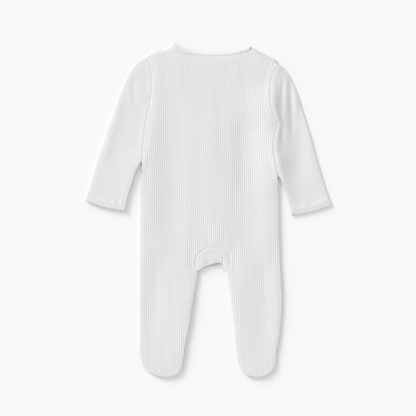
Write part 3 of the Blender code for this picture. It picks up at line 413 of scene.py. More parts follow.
class Outline:
    """A closed plan, walked with the cloth on its left: its corners and a curve through them."""

    def __init__(self, corners):
        kept = turns(corners[:, :2]) > STRAIGHT
        corners = corners[kept]
        sharp = np.flatnonzero(turns(corners[:, :2]) > SHARP_TURN)
        if len(sharp):
            start = sharp[corners[sharp, 1].argmax()]
            corners = np.roll(corners, -start, axis=0)
            sharp = (sharp - start) % len(corners)
        stops = sorted(set(sharp.tolist()) | {0}) + [len(corners)]
        closed = np.vstack([corners, corners[:1]])
        rows = []
        for first, last in zip(stops[:-1], stops[1:]):
            for x, y, level, key in curve_through(closed[first:last + 1], EDGE_STEP):
                rows.append((x, y, level, key + first))
        fine = np.array(rows)
        self.corners, self.corner_level = corners[:, :2], corners[:, 2].copy()
        self.plan, self.level, self.key = fine[:, :2].copy(), fine[:, 2].copy(), fine[:, 3]
        self.joined = np.zeros(len(fine))       # 1 where the cloth runs on into its neighbour,
        self.meet = self.level.copy()           # the height at which the two meet,
        self.moved = np.zeros(len(fine))        # and how far its edge moves out to get there
        every = self.tree_of(range(len(fine)))
        self.trees = {"all": every, "free": every, "sewn": None}

    def tree_of(self, numbers):
        """A search tree over some points of the fine curve, or none where there are none."""
        if not len(numbers):
            return None
        tree = kdtree.KDTree(len(numbers))
        for number in numbers:
            tree.insert((self.plan[number, 0], self.plan[number, 1], 0.0), int(number))
        tree.balance()
        return tree

    def outward(self):
        """Directions out of the cloth, for each point of the fine curve."""
        run = np.roll(self.plan, -1, axis=0) - np.roll(self.plan, 1, axis=0)
        return unit(np.column_stack([run[:, 1], -run[:, 0]]))

    def corners_moved_in(self, distance):
        """The corners, each moved its own distance into the cloth."""
        first = unit(self.corners - np.roll(self.corners, 1, axis=0))
        second = unit(np.roll(self.corners, -1, axis=0) - self.corners)
        normal = unit(np.column_stack([-(first + second)[:, 1], (first + second)[:, 0]]))
        cosine = normal[:, 0] * -first[:, 1] + normal[:, 1] * first[:, 0]
        return self.corners + normal * (distance / np.clip(cosine, MITER_LIMIT, 1.0))[:, None]

    def reach(self, points, which="all"):
        """For each point, its distance to the outline and the place there: a start and a share."""
        tree = self.trees[which]
        if tree is None:
            return np.full(len(points), FAR), (np.zeros(len(points), int), np.zeros(len(points)))
        nearest = np.array([tree.find((x, y, 0.0))[1] for x, y in points], int)
        gap, where, part = np.full(len(points), np.inf), nearest.copy(), np.zeros(len(points))
        for start in (nearest - 1, nearest):
            step = self.plan[(start + 1) % len(self.plan)] - self.plan[start]
            offset = points - self.plan[start]
            size = np.maximum((step ** 2).sum(axis=1), SAME ** 2)
            share = np.clip((offset * step).sum(axis=1) / size, 0.0, 1.0)
            distance = np.linalg.norm(offset - share[:, None] * step, axis=1)
            closer = distance < gap
            gap, part = np.where(closer, distance, gap), np.where(closer, share, part)
            where = np.where(closer, start, where)
        return gap, (where, part)

    def along(self, values, place):
        """Values of the outline's points at places on it."""
        where, part = place
        return values[where] + part * (values[(where + 1) % len(values)] - values[where])

    def holds(self, points):
        """Which points lie inside the corners."""
        start, end = self.corners, np.roll(self.corners, -1, axis=0)
        x, y = points[:, 0, None], points[:, 1, None]
        crosses = (start[None, :, 1] > y) != (end[None, :, 1] > y)
        rise = np.where(end[:, 1] == start[:, 1], 1.0, end[:, 1] - start[:, 1])
        at = start[None, :, 0] + (y - start[None, :, 1]) * (end[:, 0] - start[:, 0])[None] / rise
        return (crosses & (x < at)).sum(axis=1) % 2 == 1

    def area(self):
        """Area of the plan in square millimetres."""
        x, y = self.plan[:, 0], self.plan[:, 1]
        return 0.5 * float(abs(x @ np.roll(y, -1) - y @ np.roll(x, -1)))

    def extent(self):
        """Width and length of the plan in millimetres."""
        return self.plan.max(axis=0) - self.plan.min(axis=0)


def loops_of(faces):
    """Closed rows of points around a set of faces, walked with the faces on the left."""
    after = {}
    for face in faces:
        for loop in face.loops:
            if not any(other in faces for other in loop.edge.link_faces if other is not face):
                after[loop.vert] = loop.link_loop_next.vert
    found = []
    while after:
        first, vert = after.popitem()
        row = [first]
        while vert is not first:
            row.append(vert)
            vert = after.pop(vert)
        found.append(np.array([vert.co for vert in row]) / MM)
    return found


def signed_area(plan):
    """Area of a closed plan, negative where it is walked the other way round."""
    return 0.5 * float(plan[:, 0] @ np.roll(plan[:, 1], -1) - plan[:, 1] @ np.roll(plan[:, 0], -1))


def packed(node):
    """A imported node's mesh, with its loose triangles merged."""
    work = bmesh.new()
    work.from_mesh(frame["nodes"][node].data)
    bmesh.ops.remove_doubles(work, verts=work.verts, dist=MERGE)
    return work


def upper_faces(node):
    """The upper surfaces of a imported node: for each, its top, its outline and its holes."""
    work = packed(node)
    left = {face for face in work.faces if face.normal.z > UP_FACING}
    found = []
    while left:
        group, todo = set(), [left.pop()]
        while todo:
            face = todo.pop()
            group.add(face)
            for edge in face.edges:
                for other in edge.link_faces:
                    if other in left:
                        left.discard(other)
                        todo.append(other)
        loops = sorted(loops_of(group), key=signed_area)
        top = max(vert.co.z for face in group for vert in face.verts)
        found.append((top, loops[-1], loops[:-1]))
    work.free()
    return found


def highest_loop(node):
    """The points around the upper surface that holds a node's highest point."""
    return max(upper_faces(node), key=lambda found: found[0])[1]


def lying_outline(node):
    """Outline and holes of a node that lies flat, from the flat underside that it rests on."""
    work = packed(node)
    resting = {face for face in work.faces
               if face.normal.z < -UP_FACING and max(vert.co.z for vert in face.verts) < MERGE}
    loops = sorted((loop[::-1] for loop in loops_of(resting)), key=signed_area)
    work.free()
    low = Outline(loops[-1])
    edge = low.corners_moved_in(np.full(len(low.corners), -UNDERCUT))
    return Outline(np.column_stack([edge, np.full(len(edge), CLOTH)])), loops[:-1]


# ---------------------------------------------------------------- how the ribs run
class BodyCloth:
    """The body's ribs run down it, fan out a little over the chest and again over the feet."""

    chest_low, chest_high, chest_fan = 60.0, 270.0, 0.06
    ankle, toes, foot_fan = -215.0, -285.0, 0.08
    leg_centre = 79.0
    shoulder_sways = (
        # side, from this y, over this much more, from this x, over this much more, sway
        (1, 175, 100, 10, 90, 11.0),
        (-1, 205, 70, 40, 50, -3.0),
    )
    small_sways = (
        # sway, length of its wave along Y and along X
        (0.5, 19.0, 60.0), (0.4, 43.0, -37.0),
    )

    def fan(self, x, y):
        """How much wider than at the hips the ribs stand, and about which x."""
        chest = np.clip((y - self.chest_low) / (self.chest_high - self.chest_low), 0, 1)
        foot = np.clip((self.ankle - y) / (self.ankle - self.toes), 0, 1)
        about = np.where(y > 0, RIB_CENTRE, np.where(x > 0, self.leg_centre, -self.leg_centre))
        return 1 + self.chest_fan * chest + self.foot_fan * foot, about

    def sway(self, x, y):
        """How far the ribs stray sideways: towards the shoulders, and a little all over."""
        total = np.zeros(len(x))
        for side, low, rise, start, width, sway in self.shoulder_sways:
            grown = np.clip((y - low) / rise, 0, 1) ** 1.5
            total += grown * smoothstep((side * x - start) / width) * sway
        for sway, length, width in self.small_sways:
            total += sway * np.sin(y / length + x / width)
        return total

    def unroll(self, points):
        """Across and along the ribs for points of the plan."""
        x, y = points[:, 0], points[:, 1]
        x = x - self.sway(x, y)
        width, about = self.fan(x, y)
        return np.column_stack([about + (x - about) / width - RIB_CENTRE, y])

    def lay(self, places):
        """Points of the plan for places across and along the ribs."""
        x, y = places[:, 0] + RIB_CENTRE, places[:, 1]
        width, about = self.fan(x, y)
        straight = about + (x - about) * width
        x = straight
        for _round in range(LAY_ROUNDS):
            x = straight + self.sway(x, y)
        return np.column_stack([x, y])


class StraightCloth:
    """Ribs that run straight from one point towards another."""

    def __init__(self, top, end):
        self.top = np.array(top, float)
        down = np.array(end, float) - self.top
        self.down = down / np.linalg.norm(down)
        self.out = np.array((self.down[1], -self.down[0]))

    def unroll(self, points):
        """Across and along the ribs for points of the plan."""
        offset = points - self.top
        return np.column_stack([offset @ self.out, offset @ self.down])

    def lay(self, places):
        """Points of the plan for places across and along the ribs."""
        return self.top + places[:, :1] * self.out + places[:, 1:] * self.down


def rib_relief(across):
    """Share of a rib's height at places across the ribs: full crests and narrow valleys."""
    knit = bpy.context.scene.rib_knit
    return np.abs(np.cos(math.pi * across * MM / knit.pitch)) ** knit.fullness


def combed(outline, cloth):
    """Points in columns along the ribs and rows across them, inside an outline."""
    knit = bpy.context.scene.rib_knit
    spacing, row = knit.pitch / MM / knit.columns, knit.row / MM
    here = cloth.unroll(outline.plan)
    across, along = here[:, 0], here[:, 1]
    across_next, along_next = np.roll(across, -1), np.roll(along, -1)
    places = []
    for number in range(math.ceil(across.min() / spacing), math.floor(across.max() / spacing) + 1):
        line = number * spacing
        cut = (across > line + SAME) != (across_next > line + SAME)
        share = (line - across[cut]) / (across_next[cut] - across[cut])
        ends = sorted(along[cut] + share * (along_next[cut] - along[cut]))
        for low, high in zip(ends[::2], ends[1::2]):
            middle = (low + high) / 2
            rows = [low + d for d in END_ROWS if low + d < middle]
            rows += [high - d for d in END_ROWS if high - d > middle]
            first, last = math.ceil((low + END_CLEAR) / row), math.floor((high - END_CLEAR) / row)
            rows += [k * row for k in range(first, last + 1)]
            places += [(line, station) for station in rows]
    points = cloth.lay(np.array(places))
    return points[outline.reach(points)[0] > CLEAR]


def rim(outline):
    """Rows of points that follow an outline a little way inside it."""
    inward = -outline.outward()
    rows = []
    for distance in RIM_ROWS:
        row = outline.plan + inward * distance
        rows.append(row[outline.reach(row)[0] > distance * ROW_KEPT])
    return np.vstack(rows)


def woven(outline, cloth):
    """All points of a ribbed upper surface."""
    return np.vstack([rim(outline), combed(outline, cloth)])


# ---------------------------------------------------------------- the cloth's height
def fold_height(points, folds=FOLDS):
    """Height that the folds add at each point; a fold fades out towards both its ends."""
    total = np.zeros(len(points))
    share = np.linspace(0.0, 1.0, FOLD_PARTS)
    for _name, x1, y1, x2, y2, x3, y3, west, east, height in folds:
        start, middle, end = np.array((x1, y1)), np.array((x2, y2)), np.array((x3, y3))
        bend = 2 * middle - (start + end) / 2
        line = ((1 - share) ** 2)[:, None] * start + (2 * share * (1 - share))[:, None] * bend
        line = line + (share ** 2)[:, None] * end
        reach = FOLD_REACH * max(west, east)
        near = np.flatnonzero(((points > line.min(axis=0) - reach)
                               & (points < line.max(axis=0) + reach)).all(axis=1))
        here = points[near]
        gap, along = np.full(len(here), np.inf), np.zeros(len(here))
        width = np.full(len(here), west)
        for k in range(FOLD_PARTS - 1):
            run = line[k + 1] - line[k]
            part = np.clip(((here - line[k]) @ run) / (run @ run), 0.0, 1.0)
            offset = here - line[k] - part[:, None] * run
            distance = np.linalg.norm(offset, axis=1)
            closer = distance < gap
            gap = np.where(closer, distance, gap)
            along = np.where(closer, share[k] + part / (FOLD_PARTS - 1), along)
            width = np.where(closer, np.where(offset[:, 0] > 0, east, west), width)
        fade = smoothstep(np.minimum(along, 1 - along) / FOLD_FADE)
        total[near] += height * np.exp(-(gap / width) ** 2) * fade
    return total


def smoothstep(share):
    """A share that starts and ends softly."""
    share = np.clip(share, 0.0, 1.0)
    return share * share * (3 - 2 * share)


class Surface:
    """Height of one piece's upper surface over its plan."""

    def __init__(self, outline, cloth, rise, ribs=1.0, hem=None, folds=(),
                 edge_round=EDGE_ROUND, soft_rise=SOFT_RISE):
        knit = bpy.context.scene.rib_knit
        self.outline, self.cloth, self.rise = outline, cloth, rise
        self.roll = knit.roll / MM
        self.rib = knit.height / MM * ribs
        self.hem, self.folds = hem, folds
        self.edge_round, self.soft_rise = edge_round, soft_rise
        self.stays = False      # whether only the neighbours move where a seam is closed

    def full(self, points):
        """Height of the cloth itself, away from any edge."""
        height = self.rise + fold_height(points) + fold_height(points, self.folds)
        height += ripple(points)
        return height if self.hem is None else height + self.hem(points)

    def join(self, others):
        """Lets this piece's edge meet its neighbours' wherever they touch."""
        outline = self.outline
        own, out = self.full(outline.plan), outline.outward()
        outline.meet = own.copy()
        for other in others:
            gap, place = other.outline.reach(outline.plan)
            nearest = np.column_stack([other.outline.along(column, place)
                                       for column in other.outline.plan.T])
            ahead = ((nearest - outline.plan) * out).sum(axis=1)
            faced = (ahead > FACED * gap) | (gap < TOUCHING)
            share = np.where(faced, 1 - smoothstep((gap - JOINED_WITHIN) / JOINED_FADE), 0.0)
            closer = share > outline.joined
            closed = 1 - smoothstep((gap - CLOSED_WITHIN) / CLOSED_FADE)
            move = np.clip(gap - SEAM_LEFT, 0.0, None) * closed * (1.0 if other.stays else 0.5)
            outline.joined = np.where(closer, share, outline.joined)
            outline.meet = np.where(closer, (own + other.full(outline.plan)) / 2, outline.meet)
            outline.moved = np.where(closer, move, outline.moved)

    def close_seams(self):
        """Moves the joined edges out to their neighbours."""
        outline = self.outline
        outline.plan += outline.outward() * outline.moved[:, None]
        outline.trees = {"all": outline.tree_of(range(len(outline.plan))),
                         "free": outline.tree_of(np.flatnonzero(outline.joined <= 0.5)),
                         "sewn": outline.tree_of(np.flatnonzero(outline.joined > 0.5))}

    def smooth(self, points):
        """Height without the ribs: free edges roll up from their level, sewn ones meet."""
        outline = self.outline
        free, place = outline.reach(points, "free")
        level = outline.along(outline.level, place)
        seam, place = outline.reach(points, "sewn")
        meet = outline.along(outline.meet, place)
        own = self.full(points)
        sewn = own + (meet - own) * (1 - smoothstep(seam / SEAM_BLEND))
        sewn -= SEAM_GROOVE * np.exp(-(seam / SEAM_WIDTH) ** 2)
        soft = self.soft_rise * (1 - np.clip(free / self.roll, 0.0, 1.0)) ** 2
        edge = np.clip(free / self.edge_round, 0.0, 1.0)
        return level + (sewn - soft - level) * np.sqrt(1 - (1 - edge) ** 2), free, seam

    def ribbed(self, points):
        """Height with the ribs, which start low at an edge."""
        height, free, seam = self.smooth(points)
        share = FIRST_RIB + (1 - FIRST_RIB) * np.clip(free / RIB_START, 0.0, 1.0)
        share = share * (SEAM_RIB + (1 - SEAM_RIB) * np.clip(seam / RIB_START, 0.0, 1.0))
        return height + self.rib * rib_relief(self.cloth.unroll(points)[:, 0]) * share

    def edge(self):
        """Height along the outline, with the ribs' ends in it."""
        return self.ribbed(self.outline.plan)


def ripple(points):
    """Slight unevenness of cloth that was smoothed down by hand."""
    x, y = points[:, 0], points[:, 1]
    total = np.zeros(len(points))
    for length, turn, start, height in RIPPLES:
        total += height * np.sin(2 * math.pi * (x * math.cos(turn) + y * math.sin(turn)) / length
                                 + start)
    return total


# ---------------------------------------------------------------- cutting the pieces
def cuff_of(outline):
    """The corners at both ends of a sleeve's open end, outer first."""
    sharp = np.flatnonzero(turns(outline.corners) > SHARP_TURN)
    low = sharp[np.argsort(outline.corners[sharp, 1])][:2]
    return sorted(low.tolist(), key=lambda k: -abs(outline.corners[k, 0]))


def cuff_ends(outline):
    """Numbers of the first and the last corner of a sleeve's open end."""
    return tuple(sorted(cuff_of(outline)))


def open_cuff(outline):
    """Lets a sleeve's end open from its folded corners to its full height."""
    first, last = cuff_ends(outline)
    for keys, plan, level in ((outline.key, outline.plan, outline.level),
                              (np.arange(len(outline.corners)), outline.corners,
                               outline.corner_level)):
        along = (keys >= first) & (keys <= last)
        gap = np.minimum(np.linalg.norm(plan - outline.corners[first], axis=1),
                         np.linalg.norm(plan - outline.corners[last], axis=1))
        share = np.sqrt(1 - (1 - np.clip(gap / CUFF_TURN, 0.0, 1.0)) ** 2)
        level[along] = (FOLDED_EDGE + (CUFF_TOP - FOLDED_EDGE) * share)[along]
        beside = ~along & (gap < CUFF_TURN * 2) & (level > FOLDED_EDGE)
        level[beside] = FOLDED_EDGE
    return first, last


def turned_fold(outline):
    """Both ends of the fold along which a front turns over its shoulder, neck end first."""
    low = outline.corners[outline.corner_level < (UPPER + SEAM_TOP) / 2]
    order = low[np.argsort(np.abs(low[:, 0]))]
    return order[0], order[-1]


def toe_seam_of(body):
    """A function that gives the groove that the seams to the feet's tops press along the toes."""
    def extra(points):
        total = np.zeros(len(points))
        low = np.flatnonzero(points[:, 1] < TOE_LINE)
        gap = body.reach(points[low])[0]
        fade = smoothstep((TOE_LINE - points[low, 1]) / TOE_FADE)
        total[low] = -TOE_DEPTH * fade * np.exp(-((gap - TOE_SEAM) / TOE_WIDTH) ** 2)
        return total
    return extra


def hem_of(cuff):
    """A function that gives the extra height of a hem turned up along a cuff."""
    def extra(points):
        gap = np.min([np.linalg.norm(points - place, axis=1) for place in cuff[::2]], axis=0)
        step = HEM_RISE * (1 - smoothstep((gap - HEM - HEM_PAST) / HEM_SLOPE))
        pinch = -HEM_PINCH * np.exp(-((gap - HEM + HEM_SEWN) / HEM_PINCH_WIDTH) ** 2)
        dip = -CUFF_DIP * np.exp(-((gap - CUFF_DIP_IN) / CUFF_DIP_WIDTH) ** 2)
        return step + pinch + dip
    return extra


def band_edges(table):
    """The upper and lower edge of the binding, as two smooth rows of points."""
    rows = np.array(table, float)
    edges = []
    for column in (1, 2):
        stations = np.column_stack([rows[:, 0], rows[:, column], np.zeros(len(rows))])
        made = [row[:2] for row in curve_through(stations, BAND_STEP)]
        edges.append(np.array(made + [(rows[-1, 0], rows[-1, column])]))
    return edges


def tucked(loop):
    """A turned shoulder's outline, with some of its corners brought to its neighbours."""
    loop = loop.copy()
    for x, y, to_x, to_y in TUCKED:
        distance = np.hypot(loop[:, 0] - x, loop[:, 1] - y)
        if distance.min() < TUCKED_WITHIN:
            loop[distance.argmin(), :2] = (to_x, to_y)
    return loop


CUT_PIECES = {}          # the sewn upper pieces' surfaces, once they are cut


def cut_pieces():
    """Surfaces of the sewn upper pieces, each joined to its neighbours."""
    if CUT_PIECES:
        return CUT_PIECES
    body = Outline(highest_loop("back"))
    made = {
        "back": Surface(body, BodyCloth(), BACK_RISE, hem=toe_seam_of(body)),
        "gusset": Surface(Outline(highest_loop("crotch_gusset")), BodyCloth(), GUSSET_RISE),
    }
    for side in ("left", "right"):
        outline = Outline(highest_loop("sleeve_" + side))
        first, last = open_cuff(outline)
        tip = outline.corners[outline.corners[:, 1].argmax()]
        cloth = StraightCloth(tip, outline.corners[cuff_of(outline)[0]])
        cuff = outline.plan[(outline.key >= first) & (outline.key <= last)]
        folds = SLEEVE_FOLDS if side == "right" else ()
        made["sleeve_" + side] = Surface(outline, cloth, SLEEVE_RISE[side], ribs=SLEEVE_RIBS,
                                         hem=hem_of(cuff), folds=folds)
        turned = Outline(tucked(highest_loop("front_" + side)))
        start, end = turned_fold(turned)
        slope = math.atan2(start[1] - end[1], start[0] - end[0])
        down = 2 * slope - math.pi / 2
        cloth = StraightCloth(start, start + (math.cos(down), math.sin(down)))
        made["shoulder_" + side] = Surface(turned, cloth, WRAP_RISE,
                                           edge_round=WRAP_ROUND[side], soft_rise=WRAP_SOFT)
    upper, lower = band_edges(NECK_BAND_BACK)
    turned_end = BAND_FLAT * ((BAND_UPPER - BAND_LOWER) / 2 + BAND_WALL / 2)
    for edge in (lower, upper):
        edge[0, 0] -= turned_end
        edge[-1, 0] += turned_end
    ring = np.vstack([lower, upper[::-1]])
    band = Outline(np.column_stack([ring, np.full(len(ring), BAND_RISE)]))
    made["band"] = Surface(band, BodyCloth(), BAND_RISE)
    made["band"].stays = True
    beside = {
        "back": ("gusset", "sleeve_left", "sleeve_right", "shoulder_left", "shoulder_right",
                 "band"),
        "gusset": ("back",), "sleeve_left": ("back",), "sleeve_right": ("back",),
        "shoulder_left": ("back", "band"), "shoulder_right": ("back", "band"),
    }
    for name, others in beside.items():
        made[name].join([made[other] for other in others])
    for name in beside:
        made[name].close_seams()
    CUT_PIECES.update(made)
    return CUT_PIECES


# ---------------------------------------------------------------- meshes
def face_out(work):
    """Turns the faces of a closed mesh outwards."""
    bmesh.ops.recalc_face_normals(work, faces=work.faces)
    if work.calc_volume(signed=True) < 0:
        bmesh.ops.reverse_faces(work, faces=work.faces)


class Shell:
    """Points, faces and cloth coordinates of one closed piece of cloth."""

    def __init__(self, cloth):
        self.cloth = cloth
        self.points, self.places, self.faces = [], [], []
        self.count = 0

    def add(self, plan, height):
        """Adds points of the plan at their heights, and returns their numbers."""
        heights = np.broadcast_to(height, len(plan))
        self.points.append(np.column_stack([plan, heights]))
        self.places.append(self.cloth.unroll(plan))
        self.count += len(plan)
        return np.arange(self.count - len(plan), self.count)

    def sheet(self, edge, inside, holes=()):
        """Fills a closed row of points, with more points inside it and with holes in it."""
        everything = np.vstack(self.points)[:, :2]
        numbers = np.concatenate([edge, inside, *holes]).astype(int)
        rows, first = [], len(edge) + len(inside)
        for hole in holes:
            ids = list(range(first, first + len(hole)))
            rows += list(zip(ids, ids[1:] + ids[:1]))
            first += len(hole)
        result = delaunay_2d_cdt(everything[numbers].tolist(), rows, [list(range(len(edge)))], 1,
                                 CDT_MERGE)
        if len(result[0]) != len(numbers):
            raise RuntimeError("a sheet's outline crosses itself")
        origin = np.array([ids[0] for ids in result[3]])
        faces = numbers[origin[np.array(result[2])]]
        middles = everything[faces].mean(axis=1)
        for hole in holes:
            ring = everything[hole]
            centre = ring.mean(axis=0)
            radius = np.linalg.norm(ring - centre, axis=1).mean()
            outside = np.linalg.norm(middles - centre, axis=1) > radius
            faces, middles = faces[outside], middles[outside]
        self.faces.append(faces)

    def strip(self, first, second, first_key, second_key):
        """Joins two rows of points, walking both in step with their keys."""
        i = j = 0
        faces = []
        while i < len(first) - 1 or j < len(second) - 1:
            last = j == len(second) - 1
            if last or (i < len(first) - 1 and first_key[i + 1] <= second_key[j + 1]):
                faces.append((first[i], first[i + 1], second[j]))
                i += 1
            else:
                faces.append((first[i], second[j + 1], second[j]))
                j += 1
        self.faces.append(np.array(faces))

    def ring(self, first, second, first_key, second_key, whole):
        """Joins two closed rows of points."""
        self.strip(list(first) + [first[0]], list(second) + [second[0]],
                   list(first_key) + [whole], list(second_key) + [whole])

    def build(self, name, material):
        """Makes the object, with its faces pointing out and its cloth coordinates as a UV map."""
        points = np.vstack(self.points) * MM
        places = np.vstack(self.places) * MM
        mesh = bpy.data.meshes.new(name)
        mesh.from_pydata(points.tolist(), [], np.vstack(self.faces).tolist())
        work = bmesh.new()
        work.from_mesh(mesh)
        layer = work.loops.layers.uv.new("Cloth")
        for vert in work.verts:
            place = places[vert.index]
            for loop in vert.link_loops:
                loop[layer].uv = place
        face_out(work)
        loose = [vert for vert in work.verts if not vert.link_faces]
        bmesh.ops.delete(work, geom=loose, context="VERTS")
        work.to_mesh(mesh)
        work.free()
        return placed(name, mesh, material, CLOTH_SHARP)


def placed(name, mesh, material, sharp):
    """A finished object in the scene, shaded smooth between its sharp edges."""
    mesh.materials.append(material)
    mesh.shade_smooth()
    mesh.set_sharp_from_angle(angle=sharp)
    item = bpy.data.objects.new(name, mesh)
    bpy.context.scene.collection.objects.link(item)
    return item


def inner_points(outline, margin):
    """An even grid of points over a plain inner face."""
    low, high = outline.plan.min(axis=0), outline.plan.max(axis=0)
    xs = np.arange(low[0] + INNER_STEP / 2, high[0], INNER_STEP)
    ys = np.arange(low[1] + INNER_STEP / 2, high[1], INNER_STEP)
    grid = np.array([(x, y) for x in xs for y in ys])
    ring = outline.corners_moved_in(np.full(len(outline.corners), margin))
    ring = ring[(outline.reach(ring)[0] > margin * RING_KEPT) & outline.holds(ring)][::2]
    clear = margin + INNER_STEP * GRID_CLEAR
    grid = grid[(outline.reach(grid)[0] > clear) & outline.holds(grid)]
    return np.vstack([ring, grid])


def knit_top(surface):
    """Starts a shell with a ribbed upper surface; gives it, its edge and the points inside it."""
    shell = Shell(surface.cloth)
    edge = shell.add(surface.outline.plan, surface.edge())
    fine = woven(surface.outline, surface.cloth)
    shell.sheet(edge, shell.add(fine, surface.ribbed(fine)))
    return shell, edge, fine


def tray(name, surface, material):
    """A ribbed upper layer that rolls down at its edges and is plain and hollow underneath."""
    outline = surface.outline
    shell, edge, _fine = knit_top(surface)
    rolled = np.clip((SEAM_TOP - outline.corner_level) / (SEAM_TOP - UPPER), 0.0, 1.0)
    inner = shell.add(outline.corners_moved_in(rolled * CLOTH), UPPER)
    inside = inner_points(outline, surface.roll + CLOTH)
    shell.sheet(inner, shell.add(inside, surface.smooth(inside)[0] - CLOTH))
    count = len(outline.corners)
    shell.ring(edge, inner, outline.key, np.arange(count), count)
    return shell.build(name, material)


def underside_height(outline, cloth, points):
    """A flat underside whose ribs' crests lie on the floor and whose valleys are clear of it."""
    rib = bpy.context.scene.rib_knit.height / MM
    share = np.clip((outline.reach(points)[0] - UNDERCUT) / RIB_START, 0.0, 1.0)
    return rib * share * (1 - rib_relief(cloth.unroll(points)[:, 0]))


def plate(name, outline, cloth, holes, material):
    """A lower layer: ribbed where it lies on the floor, plain inside."""
    shell = Shell(cloth)
    count = len(outline.corners)
    under = shell.add(outline.corners_moved_in(np.full(count, UNDERCUT)), 0.0)
    fine = combed(outline, cloth)
    fine = fine[outline.reach(fine)[0] > UNDERCUT + CLEAR]
    low_holes, top_holes = [], []
    for hole in holes:
        centre, radius = hole[:, :2].mean(axis=0), np.ptp(hole[:, 0]) / 2
        fine = fine[np.linalg.norm(fine - centre, axis=1) > radius + CLEAR]
        turn = np.linspace(0.0, 2 * math.pi, HOLE_PARTS, endpoint=False)
        circle = centre + radius * np.column_stack([np.cos(turn), np.sin(turn)])
        low_holes.append(shell.add(circle, 0.0))
        top_holes.append(shell.add(circle, CLOTH))
        shell.ring(low_holes[-1], top_holes[-1], turn, turn, 2 * math.pi)
    shell.sheet(under, shell.add(fine, underside_height(outline, cloth, fine)), low_holes)
    edge = shell.add(outline.plan, CLOTH - LOW_EDGE_DROP)
    top = shell.add(outline.corners_moved_in(np.full(count, LOW_EDGE_IN)), CLOTH)
    shell.sheet(top, np.zeros(0, int), top_holes)
    shell.ring(top, edge, np.arange(count), outline.key, count)
    shell.ring(edge, under, outline.key, np.arange(count), count)
    return shell.build(name, material)


def block(name, surface, floor, material):
    """A ribbed layer with straight sides down to a flat underside."""
    outline = surface.outline
    shell, edge, _fine = knit_top(surface)
    count = len(outline.corners)
    under = shell.add(outline.corners, floor)
    shell.sheet(under, np.zeros(0, int))
    shell.ring(edge, under, outline.key, np.arange(count), count)
    return shell.build(name, material)


def tube(name, surface, material):
    """A flattened tube: ribbed above and below, hollow between, and open at both its ends."""
    outline = surface.outline
    shell, edge, fine = knit_top(surface)
    count = len(outline.corners)
    open_here = outline.corner_level > (FOLDED_EDGE + SEAM_TOP) / 2
    is_end = open_here & np.roll(open_here, 1) & np.roll(open_here, -1)
    under = shell.add(outline.corners_moved_in(np.where(is_end, 0.0, UNDERCUT)), 0.0)
    low = fine[outline.reach(fine)[0] > UNDERCUT + CLEAR]
    shell.sheet(under, shell.add(low, underside_height(outline, surface.cloth, low)))
    inner_plan = outline.corners_moved_in(np.where(is_end, 0.0, CLOTH))
    inner_low = shell.add(inner_plan, CLOTH)
    shell.sheet(inner_low, np.zeros(0, int))
    raised = shell.add(inner_plan, outline.corner_level - CLOTH)
    inner_high = np.where(is_end, raised, inner_low)
    inside = inner_points(outline, surface.roll + CLOTH)
    shell.sheet(inner_high, shell.add(inside, surface.smooth(inside)[0] - CLOTH))
    for k in range(count):
        after = (k + 1) % count
        picked = np.flatnonzero((outline.key >= k) & (outline.key < k + 1))
        upper = list(edge[picked]) + [edge[(picked[-1] + 1) % len(edge)]]
        keys = list(outline.key[picked]) + [k + 1]
        if is_end[k] or is_end[after]:
            shell.strip(upper, inner_high[[k, after]], keys, [k, k + 1])
            shell.strip(inner_low[[k, after]], under[[k, after]], [k, k + 1], [k, k + 1])
        else:
            shell.strip(upper, under[[k, after]], keys, [k, k + 1])
        if not is_end[k] and (is_end[k - 1] or is_end[after]):
            shell.faces.append(np.array([(edge[picked[0]], inner_low[k], under[k])]))
    return shell.build(name, material)


def band_sections(table, level, facing):
    """Sections of the binding: middle, half width along Y, the way it faces and how flat it is."""
    upper, lower = band_edges(table)
    high = np.interp(lower[:, 0], upper[:, 0], upper[:, 1])
    return [((x, (top + low) / 2, level), (top - low) / 2, facing, 1.0)
            for x, low, top in zip(lower[:, 0], lower[:, 1], high)]


def squared(value, power):
    """A sine or cosine made fuller, which turns a circle into a rounded square."""
    return math.copysign(abs(value) ** power, value)


def band_mesh():
    """The folded strip around the neck, turned over at each shoulder."""
    over = band_sections(NECK_BAND_BACK, BAND_UPPER, math.pi / 2)
    under = band_sections(NECK_BAND_FRONT, BAND_LOWER, -math.pi / 2)
    radius, level = (BAND_UPPER - BAND_LOWER) / 2, (BAND_UPPER + BAND_LOWER) / 2
    sections = list(over)
    for (centre, half, _facing, _flat), sign in ((over[-1], 1), (over[0], -1)):
        for angle in BAND_TURN:
            a = math.radians(angle)
            out = radius * squared(math.cos(a), BAND_TURN_CORNER) * BAND_FLAT
            up = radius * squared(math.sin(a), BAND_TURN_CORNER)
            middle = (centre[0] + sign * out, centre[1], level + up)
            sections.append((middle, half, a if sign > 0 else math.pi - a, BAND_FLAT))
        sections += under[::-1] if sign > 0 else []
    turn = np.linspace(0.0, 2 * math.pi, BAND_ROUND, endpoint=False)
    points = []
    for (x, y, z), half, facing, flat in sections:
        for angle in turn:
            along = squared(math.cos(angle), BAND_CORNER) * half
            out = squared(math.sin(angle), BAND_CORNER) * BAND_WALL / 2
            points.append((x + flat * out * math.cos(facing), y + along,
                           z + out * math.sin(facing)))
    faces = []
    for k in range(len(sections)):
        here, after = k * BAND_ROUND, (k + 1) % len(sections) * BAND_ROUND
        for j in range(BAND_ROUND):
            step = (j + 1) % BAND_ROUND
            faces.append((here + j, here + step, after + step, after + j))
    mesh = bpy.data.meshes.new("neck_binding")
    mesh.from_pydata([tuple(c * MM for c in point) for point in points], [], faces)
    work = bmesh.new()
    work.from_mesh(mesh)
    face_out(work)
    work.to_mesh(mesh)
    work.free()
    return mesh


def box_matrix(low, high):
    """The matrix that brings a unit cube to a box, in metres."""
    middle, size = (low + high) / 2 * MM, (high - low) * MM
    return Matrix.Translation(Vector(middle)) @ Matrix.Diagonal((*size, 1.0))


